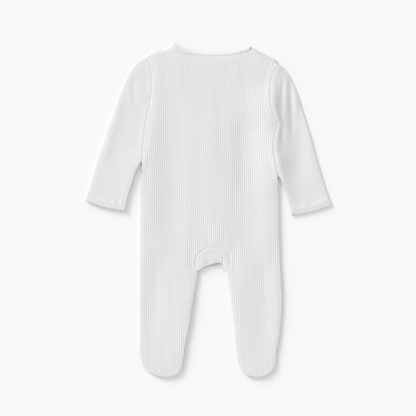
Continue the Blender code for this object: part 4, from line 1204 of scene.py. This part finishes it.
# ---------------------------------------------------------------- materials
def mottled(tree, place, colour, share, size, detail):
    """A colour that yarn took up unevenly, over a few stitches."""
    tone = add_node(tree, "ShaderNodeTexNoise", {"Vector": place, "Scale": 1 / size,
                                                 "Detail": detail})
    shade = tuple(c * share for c in colour)
    return add_node(tree, "ShaderNodeMix", {"Factor": tone.outputs["Fac"], 6: (*shade, 1.0),
                                            7: (*colour, 1.0)}, data_type="RGBA").outputs[2]


def painted_edge_shade(tree, colour, share):
    """A colour with painted shade where the cloth turns down: the steeper the surface faces, the
    darker.
    """
    facing = add_node(tree, "ShaderNodeNewGeometry").outputs["Normal"]
    level = add_node(tree, "ShaderNodeSeparateXYZ", {0: facing}).outputs["Z"]
    steep = add_node(tree, "ShaderNodeMath", {0: level}, operation="ABSOLUTE").outputs[0]
    kept = add_node(tree, "ShaderNodeMapRange", {"Value": steep, "From Min": PAINTED_SHADE_FACING[0],
                                                 "From Max": PAINTED_SHADE_FACING[1], "To Min": share})
    return add_node(tree, "ShaderNodeVectorMath", {0: colour, "Scale": kept.outputs["Result"]},
                    operation="SCALE").outputs[0]


def rib_knit():
    """Rib-knit cotton, bleached and brushed: matt, a little fuzzy, fine courses; painted shade in
    valleys and on steep sides.
    """
    name = "rib-knit cotton"
    if name in bpy.data.materials:
        return bpy.data.materials[name]
    knit = bpy.context.scene.rib_knit
    material, tree, shader = new_material(name)
    cloth = add_node(tree, "ShaderNodeUVMap", uv_map="Cloth").outputs["UV"]
    split = add_node(tree, "ShaderNodeSeparateXYZ", {0: cloth})
    fuzz = add_node(tree, "ShaderNodeTexNoise", {"Vector": cloth, "Scale": 1 / (0.35 * MM),
                                                 "Detail": 2.0})
    made = {"across": split.outputs["X"], "along": split.outputs["Y"], "fuzz": fuzz.outputs["Fac"]}
    steps = (
        # name, operation, first value, second value: each a number or an earlier name
        # Three wales to a rib: two knitted ones on its crest and a purled one in its valley
        ("wales", "MULTIPLY", "across", 3 / knit.pitch),
        ("wale", "FRACT", "wales", 0.0),
        # Each wale's stitches are pairs of leaning legs, one course over the other
        ("side", "SUBTRACT", "wale", 0.5),
        ("lean", "ABSOLUTE", "side", 0.0),
        ("courses", "MULTIPLY", "along", 1 / knit.course),
        ("course", "ADD", "courses", "lean"),
        ("course turn", "MULTIPLY", "course", 2 * math.pi),
        ("loop", "SINE", "course turn", 0.0),
        ("raised loop", "ADD", "loop", 1.0),
        ("wale turn", "MULTIPLY", "wale", math.pi),
        ("groove", "SINE", "wale turn", 0.0),
        ("stitch", "MULTIPLY", "raised loop", "groove"),
        ("stitch share", "MULTIPLY", "stitch", 0.4),
        ("fuzz share", "MULTIPLY", "fuzz", 0.6),
        ("height", "ADD", "stitch share", "fuzz share"),
        # The purled wale is sunk between its neighbours; how near a place is to a crest sets the
        # painted shade in the valley
        ("rib turn", "MULTIPLY", "across", math.pi / knit.pitch),
        ("rib", "COSINE", "rib turn", 0.0),
        ("crest", "ABSOLUTE", "rib", 0.0),
    )
    for result, operation, first, second in steps:
        node = add_node(tree, "ShaderNodeMath", {0: made[first], 1: made.get(second, second)},
                        operation=operation)
        made[result] = node.outputs[0]
    bump = add_node(tree, "ShaderNodeBump", {"Height": made["height"], "Strength": 0.35,
                                             "Distance": 0.12 * MM})
    colour = mottled(tree, cloth, tuple(knit.colour), share=0.965, size=5 * MM, detail=3.0)
    # Painted shade in the rib valleys: the colour falls to 0.95 of itself there and stays full at
    # the crests
    lit = add_node(tree, "ShaderNodeMapRange", {"Value": made["crest"], "From Max": 0.75,
                                                "To Min": 0.95})
    colour = add_node(tree, "ShaderNodeVectorMath", {0: colour, "Scale": lit.outputs["Result"]},
                      operation="SCALE").outputs[0]
    # Painted shade: the colour is darkened to 0.7 of itself on the cloth's steep, turned-down sides
    fill(tree, shader, {"Base Color": painted_edge_shade(tree, colour, 0.7),
                        "Normal": bump.outputs["Normal"], "Roughness": 0.92, "IOR": 1.45,
                        "Specular IOR Level": 0.2, "Sheen Weight": 0.15, "Sheen Roughness": 0.6})
    return material


def plain_cloth(name, code, cell, relief):
    """A fine plain knit in Object coordinates: matt, with a small even grain and painted shade on
    its steep sides.
    """
    material, tree, shader = new_material(name)
    place = add_node(tree, "ShaderNodeTexCoord").outputs["Object"]
    grain = add_node(tree, "ShaderNodeTexVoronoi", {"Vector": place, "Scale": 1 / cell},
                     feature="SMOOTH_F1").outputs["Distance"]
    bump = add_node(tree, "ShaderNodeBump", {"Height": grain, "Strength": 0.4, "Distance": relief})
    colour = mottled(tree, place, linear(code), share=0.97, size=6 * MM, detail=2.0)
    # Painted shade: the colour is darkened to 0.75 of itself on the cloth's steep, turned-down
    # sides
    fill(tree, shader, {"Base Color": painted_edge_shade(tree, colour, 0.75),
                        "Normal": bump.outputs["Normal"], "Roughness": 0.9,
                        "Specular IOR Level": 0.2, "Sheen Weight": 0.1})
    return material


def neck_binding():
    """Self-cloth binding, folded double and pulled smooth: the knit's grain and hardly a rib."""
    return plain_cloth("rib-knit binding", "#e6e6e5", cell=1.1 * MM, relief=0.1 * MM)


def placket_jersey():
    """Single jersey, fused flat behind the snaps: finer and smoother than the rib."""
    return plain_cloth("single jersey", "#eaeae9", cell=0.8 * MM, relief=0.05 * MM)


def sewing_thread():
    """Spun polyester sewing thread: bright white, with a faint twist and a soft gloss."""
    material, tree, shader = new_material("spun polyester thread")
    place = add_node(tree, "ShaderNodeTexCoord").outputs["Object"]
    twist = add_node(tree, "ShaderNodeTexWave", {"Vector": place, "Scale": 1 / (0.9 * MM)},
                     bands_direction="DIAGONAL").outputs["Fac"]
    bump = add_node(tree, "ShaderNodeBump", {"Height": twist, "Strength": 0.3,
                                             "Distance": 0.05 * MM})
    fill(tree, shader, {"Base Color": (*bpy.context.scene.sewing.colour, 1.0),
                        "Normal": bump.outputs["Normal"], "Roughness": 0.6})
    return material


def snap_resin():
    """Moulded acetal resin: white, satin, with the faint unevenness of the mould."""
    material, tree, shader = new_material("moulded acetal")
    place = add_node(tree, "ShaderNodeTexCoord").outputs["Object"]
    cast = add_node(tree, "ShaderNodeTexNoise", {"Vector": place, "Scale": 1 / (1.5 * MM)})
    bump = add_node(tree, "ShaderNodeBump", {"Height": cast.outputs["Fac"], "Strength": 0.15,
                                             "Distance": 0.03 * MM})
    rough = add_node(tree, "ShaderNodeMapRange", {"Value": cast.outputs["Fac"], "To Min": 0.28,
                                                  "To Max": 0.4})
    fill(tree, shader, {"Base Color": (*linear("#f3f3f1"), 1.0),
                        "Normal": bump.outputs["Normal"], "Roughness": rough.outputs["Result"],
                        "IOR": 1.48})
    return material


def studio_paper():
    """Matt seamless paper: even and pale, with a faint tooth."""
    material, tree, shader = new_material("seamless paper")
    place = add_node(tree, "ShaderNodeTexCoord").outputs["Object"]
    tooth = add_node(tree, "ShaderNodeTexNoise", {"Vector": place, "Scale": 1 / (0.8 * MM)})
    bump = add_node(tree, "ShaderNodeBump", {"Height": tooth.outputs["Fac"], "Strength": 0.05,
                                             "Distance": 0.02 * MM})
    fill(tree, shader, {"Base Color": (*bpy.context.scene.studio.floor, 1.0),
                        "Normal": bump.outputs["Normal"], "Roughness": 1.0,
                        "Specular IOR Level": 0.0})
    return material


# ---------------------------------------------------------------- sewing, with Geometry Nodes
def stitch_tree():
    """A node tree that sews a row of stitches along every line of a mesh."""
    tree = bpy.data.node_groups.new("Row of stitches", "GeometryNodeTree")
    face = tree.interface
    face.new_socket("Geometry", in_out="INPUT", socket_type="NodeSocketGeometry")
    for name, kind in (("Stitch", "NodeSocketFloat"), ("Space", "NodeSocketFloat"),
                       ("Thread", "NodeSocketFloat"), ("Uneven", "NodeSocketFloat"),
                       ("Seed", "NodeSocketInt"), ("Material", "NodeSocketMaterial")):
        face.new_socket(name, in_out="INPUT", socket_type=kind)
    face.new_socket("Geometry", in_out="OUTPUT", socket_type="NodeSocketGeometry")
    given = add_node(tree, "NodeGroupInput").outputs
    curve = add_node(tree, "GeometryNodeMeshToCurve", {"Mesh": given["Geometry"]})
    spaced = add_node(tree, "GeometryNodeResampleCurve", {"Curve": curve.outputs[0],
                                                         "Length": given["Space"]}, mode="LENGTH")
    half = add_node(tree, "ShaderNodeMath", {0: given["Stitch"], 1: 0.5}, operation="MULTIPLY")
    size = add_node(tree, "ShaderNodeCombineXYZ", {"X": half.outputs[0], "Y": given["Thread"],
                                                   "Z": given["Thread"]})
    bead = add_node(tree, "GeometryNodeMeshUVSphere", {"Segments": 8, "Rings": 6, "Radius": 1.0})
    thread = add_node(tree, "GeometryNodeTransform", {"Geometry": bead.outputs["Mesh"],
                                                      "Scale": size.outputs[0]})
    tangent = add_node(tree, "GeometryNodeInputTangent")
    turned = add_node(tree, "FunctionNodeAlignRotationToVector", {"Vector": tangent.outputs[0]},
                      axis="X")
    low = add_node(tree, "ShaderNodeMath", {0: 1.0, 1: given["Uneven"]}, operation="SUBTRACT")
    high = add_node(tree, "ShaderNodeMath", {0: 1.0, 1: given["Uneven"]}, operation="ADD")
    length = add_node(tree, "FunctionNodeRandomValue", {2: low.outputs[0], 3: high.outputs[0],
                                                        "Seed": given["Seed"]}, data_type="FLOAT")
    scale = add_node(tree, "ShaderNodeCombineXYZ", {"X": length.outputs[1], "Y": 1.0, "Z": 1.0})
    sewn = add_node(tree, "GeometryNodeInstanceOnPoints", {
        "Points": spaced.outputs[0], "Instance": thread.outputs["Geometry"],
        "Rotation": turned.outputs[0], "Scale": scale.outputs[0]})
    real = add_node(tree, "GeometryNodeRealizeInstances", {0: sewn.outputs[0]})
    finish = add_node(tree, "GeometryNodeSetMaterial", {"Geometry": real.outputs[0],
                                                        "Material": given["Material"]})
    add_node(tree, "NodeGroupOutput", {0: finish.outputs[0]})
    return tree


def sewn_line(name, line, material):
    """A row of stitches along a line of points, as a plain mesh."""
    sewing = bpy.context.scene.sewing
    path = bpy.data.meshes.new(name + "_path")
    path.from_pydata((line * MM).tolist(), [(k, k + 1) for k in range(len(line) - 1)], [])
    guide = bpy.data.objects.new(name + "_path", path)
    bpy.context.scene.collection.objects.link(guide)
    tree = bpy.data.node_groups.get("Row of stitches") or stitch_tree()
    modifier = guide.modifiers.new("Stitches", "NODES")
    modifier.node_group = tree
    given = {"Stitch": sewing.stitch, "Space": sewing.space, "Thread": sewing.thread,
             "Uneven": sewing.uneven, "Seed": sewing.seed, "Material": material}
    for item in tree.interface.items_tree:
        if item.in_out == "INPUT" and item.name in given:
            modifier[item.identifier] = given[item.name]
    evaluated = guide.evaluated_get(bpy.context.evaluated_depsgraph_get())
    mesh = bpy.data.meshes.new_from_object(evaluated)
    bpy.data.objects.remove(guide)
    mesh.name = name
    mesh.materials.clear()
    return placed(name, mesh, material, ALL_SMOOTH)


def laid_on(item, plan, lift):
    """Points of a plan, dropped onto a piece and lifted a little."""
    tree = BVHTree.FromPolygons([vert.co for vert in item.data.vertices],
                                [face.vertices for face in item.data.polygons])
    rows = []
    for x, y in plan:
        hit = tree.ray_cast(Vector((x * MM, y * MM, 1.0)), Vector((0, 0, -1)))[0]
        if hit is not None:
            rows.append((x, y, hit.z / MM + lift))
    return np.array(rows)


# ---------------------------------------------------------------- attaching and lighting them
def declare(item, nodes, flat, area):
    """Attaches a cloth piece to the body that it rides on and hides the nodes that it stands for.
    """
    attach(item, BODY)
    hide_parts(*nodes)


def sun(name, turn, height, spread, energy, lit):
    """A distant soft light that only some objects take."""
    data = bpy.data.lights.new(name, "SUN")
    data.energy = energy
    data.angle = spread
    lamp = bpy.data.objects.new(name, data)
    towards = Vector((math.cos(turn) * math.cos(height), math.sin(turn) * math.cos(height),
                      math.sin(height)))
    lamp.rotation_mode = "QUATERNION"
    lamp.rotation_quaternion = towards.to_track_quat("Z", "Y")
    lamp.location = towards
    bpy.context.scene.collection.objects.link(lamp)
    group = bpy.data.collections.new(name + " lights")
    for item in lit:
        group.objects.link(item)
    lamp.light_linking.receiver_collection = group


# ---------------------------------------------------------------- operators
class SLEEPSUIT_OT_back(bpy.types.Operator):
    """Knit the back: body, both legs and both soles in one piece"""
    bl_idname = "sleepsuit.back"
    bl_label = "Back"

    def execute(self, context):
        surface = cut_pieces()["back"]
        item = tray("knit_back", surface, rib_knit())
        declare(item, ["back"], surface.outline.extent(), surface.outline.area())
        return {"FINISHED"}


class SLEEPSUIT_OT_gusset(bpy.types.Operator):
    """Knit the crotch gusset, let into the arch of the back"""
    bl_idname = "sleepsuit.gusset"
    bl_label = "Crotch gusset"

    def execute(self, context):
        surface = cut_pieces()["gusset"]
        item = tray("knit_gusset", surface, rib_knit())
        declare(item, ["crotch_gusset"], surface.outline.extent(),
                surface.outline.area())
        return {"FINISHED"}


class SLEEPSUIT_OT_sleeves(bpy.types.Operator):
    """Knit both sleeves, each folded to a flat tube with a turned hem"""
    bl_idname = "sleepsuit.sleeves"
    bl_label = "Sleeves"

    def execute(self, context):
        for side in ("left", "right"):
            surface = cut_pieces()["sleeve_" + side]
            item = tube("knit_sleeve_" + side, surface, rib_knit())
            width, length = surface.outline.extent()
            declare(item, ["sleeve_" + side], (2 * width, length),
                    2 * surface.outline.area())
        return {"FINISHED"}


class SLEEPSUIT_OT_fronts(bpy.types.Operator):
    """Knit both fronts, with their shoulders turned over onto the back"""
    bl_idname = "sleepsuit.fronts"
    bl_label = "Fronts"

    def execute(self, context):
        for side in ("left", "right"):
            node = "front_" + side
            outline, holes = lying_outline(node)
            item = plate("knit_" + node, outline, BodyCloth(), holes, rib_knit())
            surface = cut_pieces()["shoulder_" + side]
            turned = surface.outline
            flap = block("knit_shoulder_" + side, surface, CLOTH + WRAP_CLEAR, rib_knit())
            with context.temp_override(active_object=item, selected_editable_objects=[item, flap]):
                bpy.ops.object.join()
            width, length = outline.extent()
            declare(item, [node], (width, length + 2 * turned.extent()[1]),
                    outline.area() + turned.area())
        return {"FINISHED"}


class SLEEPSUIT_OT_foot_tops(bpy.types.Operator):
    """Knit the tops of both feet"""
    bl_idname = "sleepsuit.foot_tops"
    bl_label = "Foot tops"

    def execute(self, context):
        for side in ("left", "right"):
            node = "foot_top_" + side
            outline, holes = lying_outline(node)
            item = plate("knit_" + node, outline, BodyCloth(), holes, rib_knit())
            declare(item, [node], outline.extent(), outline.area())
        return {"FINISHED"}


class SLEEPSUIT_OT_neck_binding(bpy.types.Operator):
    """Bind the neck with a folded strip"""
    bl_idname = "sleepsuit.neck_binding"
    bl_label = "Neck binding"

    def execute(self, context):
        item = placed("neck_binding", band_mesh(), neck_binding(), ALL_SMOOTH)
        cut = sum(face.area for face in item.data.polygons) / 2 / MM ** 2
        declare(item, ["neck_band"], (BINDING_LENGTH, BINDING_WIDTH), cut)
        return {"FINISHED"}


class SLEEPSUIT_OT_placket(bpy.types.Operator):
    """Face the front closure with a plain strip"""
    bl_idname = "sleepsuit.placket"
    bl_label = "Placket"

    def execute(self, context):
        low, high = (np.array(corner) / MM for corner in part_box("placket"))
        bpy.ops.mesh.primitive_cube_add(size=1.0)
        item = context.object
        item.name = item.data.name = "jersey_placket"
        item.data.transform(box_matrix(low, high))
        item.data.materials.append(placket_jersey())
        bevel = item.modifiers.new("Pressed edge", "BEVEL")
        bevel.width = PLACKET_EDGE * MM
        bevel.segments = 3
        declare(item, ["placket"], (high - low)[:2],
                float(np.prod((high - low)[:2])))
        return {"FINISHED"}


class SLEEPSUIT_OT_snaps(bpy.types.Operator):
    """Press in the snaps that close the front"""
    bl_idname = "sleepsuit.snaps"
    bl_label = "Snaps"

    def execute(self, context):
        material = snap_resin()
        nodes = sorted(node for node in frame["nodes"] if node.startswith("snap_"))
        for node in nodes:
            low, high = (np.array(corner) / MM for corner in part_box(node))
            centre, top = (low + high) / 2, high[2]
            profile = (*SNAP_FACE, (SNAP_RADIUS, top - SNAP_ROUND),
                       (SNAP_RADIUS - SNAP_ROUND, top), (0.0, top))
            work = bmesh.new()
            verts = [work.verts.new((radius * MM, 0.0, level * MM)) for radius, level in profile]
            edges = [work.edges.new(pair) for pair in zip(verts, verts[1:])]
            bmesh.ops.spin(work, geom=verts + edges, axis=(0, 0, 1), cent=(0, 0, 0), dvec=(0, 0, 0),
                           angle=2 * math.pi, steps=SNAP_PARTS, use_merge=True)
            bmesh.ops.remove_doubles(work, verts=work.verts, dist=MERGE)
            bmesh.ops.recalc_face_normals(work, faces=work.faces)
            bmesh.ops.translate(work, verts=work.verts, vec=(centre[0] * MM, centre[1] * MM, 0.0))
            mesh = bpy.data.meshes.new("resin_" + node)
            work.to_mesh(mesh)
            work.free()
            item = placed("resin_" + node, mesh, material, RESIN_SHARP)
            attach(item, BODY)
            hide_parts(node)
        return {"FINISHED"}


class SLEEPSUIT_OT_stitches(bpy.types.Operator):
    """Sew the hems and the neck binding"""
    bl_idname = "sleepsuit.stitches"
    bl_label = "Stitches"

    def execute(self, context):
        material = sewing_thread()
        lift = context.scene.sewing.thread / MM * THREAD_LIFT
        for side in ("left", "right"):
            outline = cut_pieces()["sleeve_" + side].outline
            first, last = cuff_ends(outline)
            cuff = outline.plan[(outline.key >= first) & (outline.key <= last)]
            inward = np.column_stack([-np.gradient(cuff[:, 1]), np.gradient(cuff[:, 0])])
            line = (cuff + unit(inward) * (HEM - HEM_SEWN))[HEM_ENDS:-HEM_ENDS]
            item = bpy.data.objects["knit_sleeve_" + side]
            sewn = sewn_line("hem_stitches_" + side, laid_on(item, line, lift), material)
            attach(sewn, BODY)
        _upper, neck = band_edges(NECK_BAND_BACK)
        neck = neck[(neck[:, 0] > NECK_SEWN[0]) & (neck[:, 0] < NECK_SEWN[1])]
        outward = unit(np.column_stack([-np.gradient(neck[:, 1]), np.gradient(neck[:, 0])]))
        line = neck + outward * NECK_SEWN_IN
        binding = bpy.data.objects["neck_binding"]
        sewn = sewn_line("binding_stitches", laid_on(binding, line, lift), material)
        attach(sewn, BODY)
        return {"FINISHED"}


class SLEEPSUIT_OT_stage(bpy.types.Operator):
    """Lay the floor, set the lights and place the camera straight above"""
    bl_idname = "sleepsuit.stage"
    bl_label = "Stage"

    def execute(self, context):
        studio = context.scene.studio
        garment = list(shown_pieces())
        bpy.ops.mesh.primitive_plane_add(size=FLOOR_SIZE, location=(0.0, 0.0, -FLOOR_DROP * MM))
        floor = context.object
        floor.name = "floor"
        floor.data.materials.append(studio_paper())
        floor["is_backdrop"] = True
        world = context.scene.world or bpy.data.worlds.new("Studio")
        context.scene.world = world
        world.use_nodes = True
        back = world.node_tree.nodes["Background"]
        back.inputs["Color"].default_value = (1.0, 1.0, 1.0, 1.0)
        back.inputs["Strength"].default_value = studio.fill
        sun("Key", studio.key_turn, studio.key_height, KEY_SPREAD, studio.key, garment)
        sun("Floor key", studio.drop_turn, studio.drop_height, DROP_SPREAD, studio.drop, [floor])
        sun("Floor fill", 0.0, math.radians(90), DOME_SPREAD, studio.dome, [floor])
        data = bpy.data.cameras.new("Camera")
        data.lens = studio.lens
        data.sensor_width = SENSOR
        camera = bpy.data.objects.new("Camera", data)
        camera.location = (VIEW_CENTRE[0] * MM, VIEW_CENTRE[1] * MM,
                           studio.width * studio.lens / SENSOR)
        context.scene.collection.objects.link(camera)
        context.scene.camera = camera
        context.scene.view_settings.view_transform = "Standard"
        return {"FINISHED"}


class SLEEPSUIT_PT_panel(bpy.types.Panel):
    """Sizes, colours and the steps that make the sleepsuit"""
    bl_idname = "SLEEPSUIT_PT_panel"
    bl_label = "Sleepsuit"
    bl_space_type = "VIEW_3D"
    bl_region_type = "UI"
    bl_category = "Sleepsuit"

    def draw(self, context):
        for group, title in ((context.scene.rib_knit, "Rib knit"), (context.scene.sewing, "Sewing"),
                             (context.scene.studio, "Studio")):
            box = self.layout.box()
            box.label(text=title)
            for name in group.__annotations__:
                box.prop(group, name)
        column = self.layout.column()
        for step in STEPS:
            column.operator(step.bl_idname)


STEPS = (SLEEPSUIT_OT_back, SLEEPSUIT_OT_gusset, SLEEPSUIT_OT_sleeves, SLEEPSUIT_OT_fronts,
         SLEEPSUIT_OT_foot_tops, SLEEPSUIT_OT_neck_binding, SLEEPSUIT_OT_placket,
         SLEEPSUIT_OT_snaps, SLEEPSUIT_OT_stitches, SLEEPSUIT_OT_stage)
GROUPS = (("rib_knit", RibKnitSettings), ("sewing", SewingSettings), ("studio", StudioSettings))


def register():
    """Registers the settings, the steps and the panel."""
    for name, group in GROUPS:
        bpy.utils.register_class(group)
        setattr(bpy.types.Scene, name, PointerProperty(type=group))
    for kind in (*STEPS, SLEEPSUIT_PT_panel):
        bpy.utils.register_class(kind)


def unregister():
    """Takes them out again."""
    for kind in reversed((*STEPS, SLEEPSUIT_PT_panel)):
        bpy.utils.unregister_class(kind)
    for name, group in reversed(GROUPS):
        delattr(bpy.types.Scene, name)
        bpy.utils.unregister_class(group)


def main():
    """Registers the add-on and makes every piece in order."""
    register()
    # What a new file starts with goes; the frame's solids stay
    for item in list(bpy.context.scene.objects):
        if item.type in {"LIGHT", "CAMERA"} or item.name == "Cube":
            bpy.data.objects.remove(item)
    for step in STEPS:
        group, name = step.bl_idname.split(".")
        getattr(getattr(bpy.ops, group), name)()


if __name__ == "__main__":
    main()
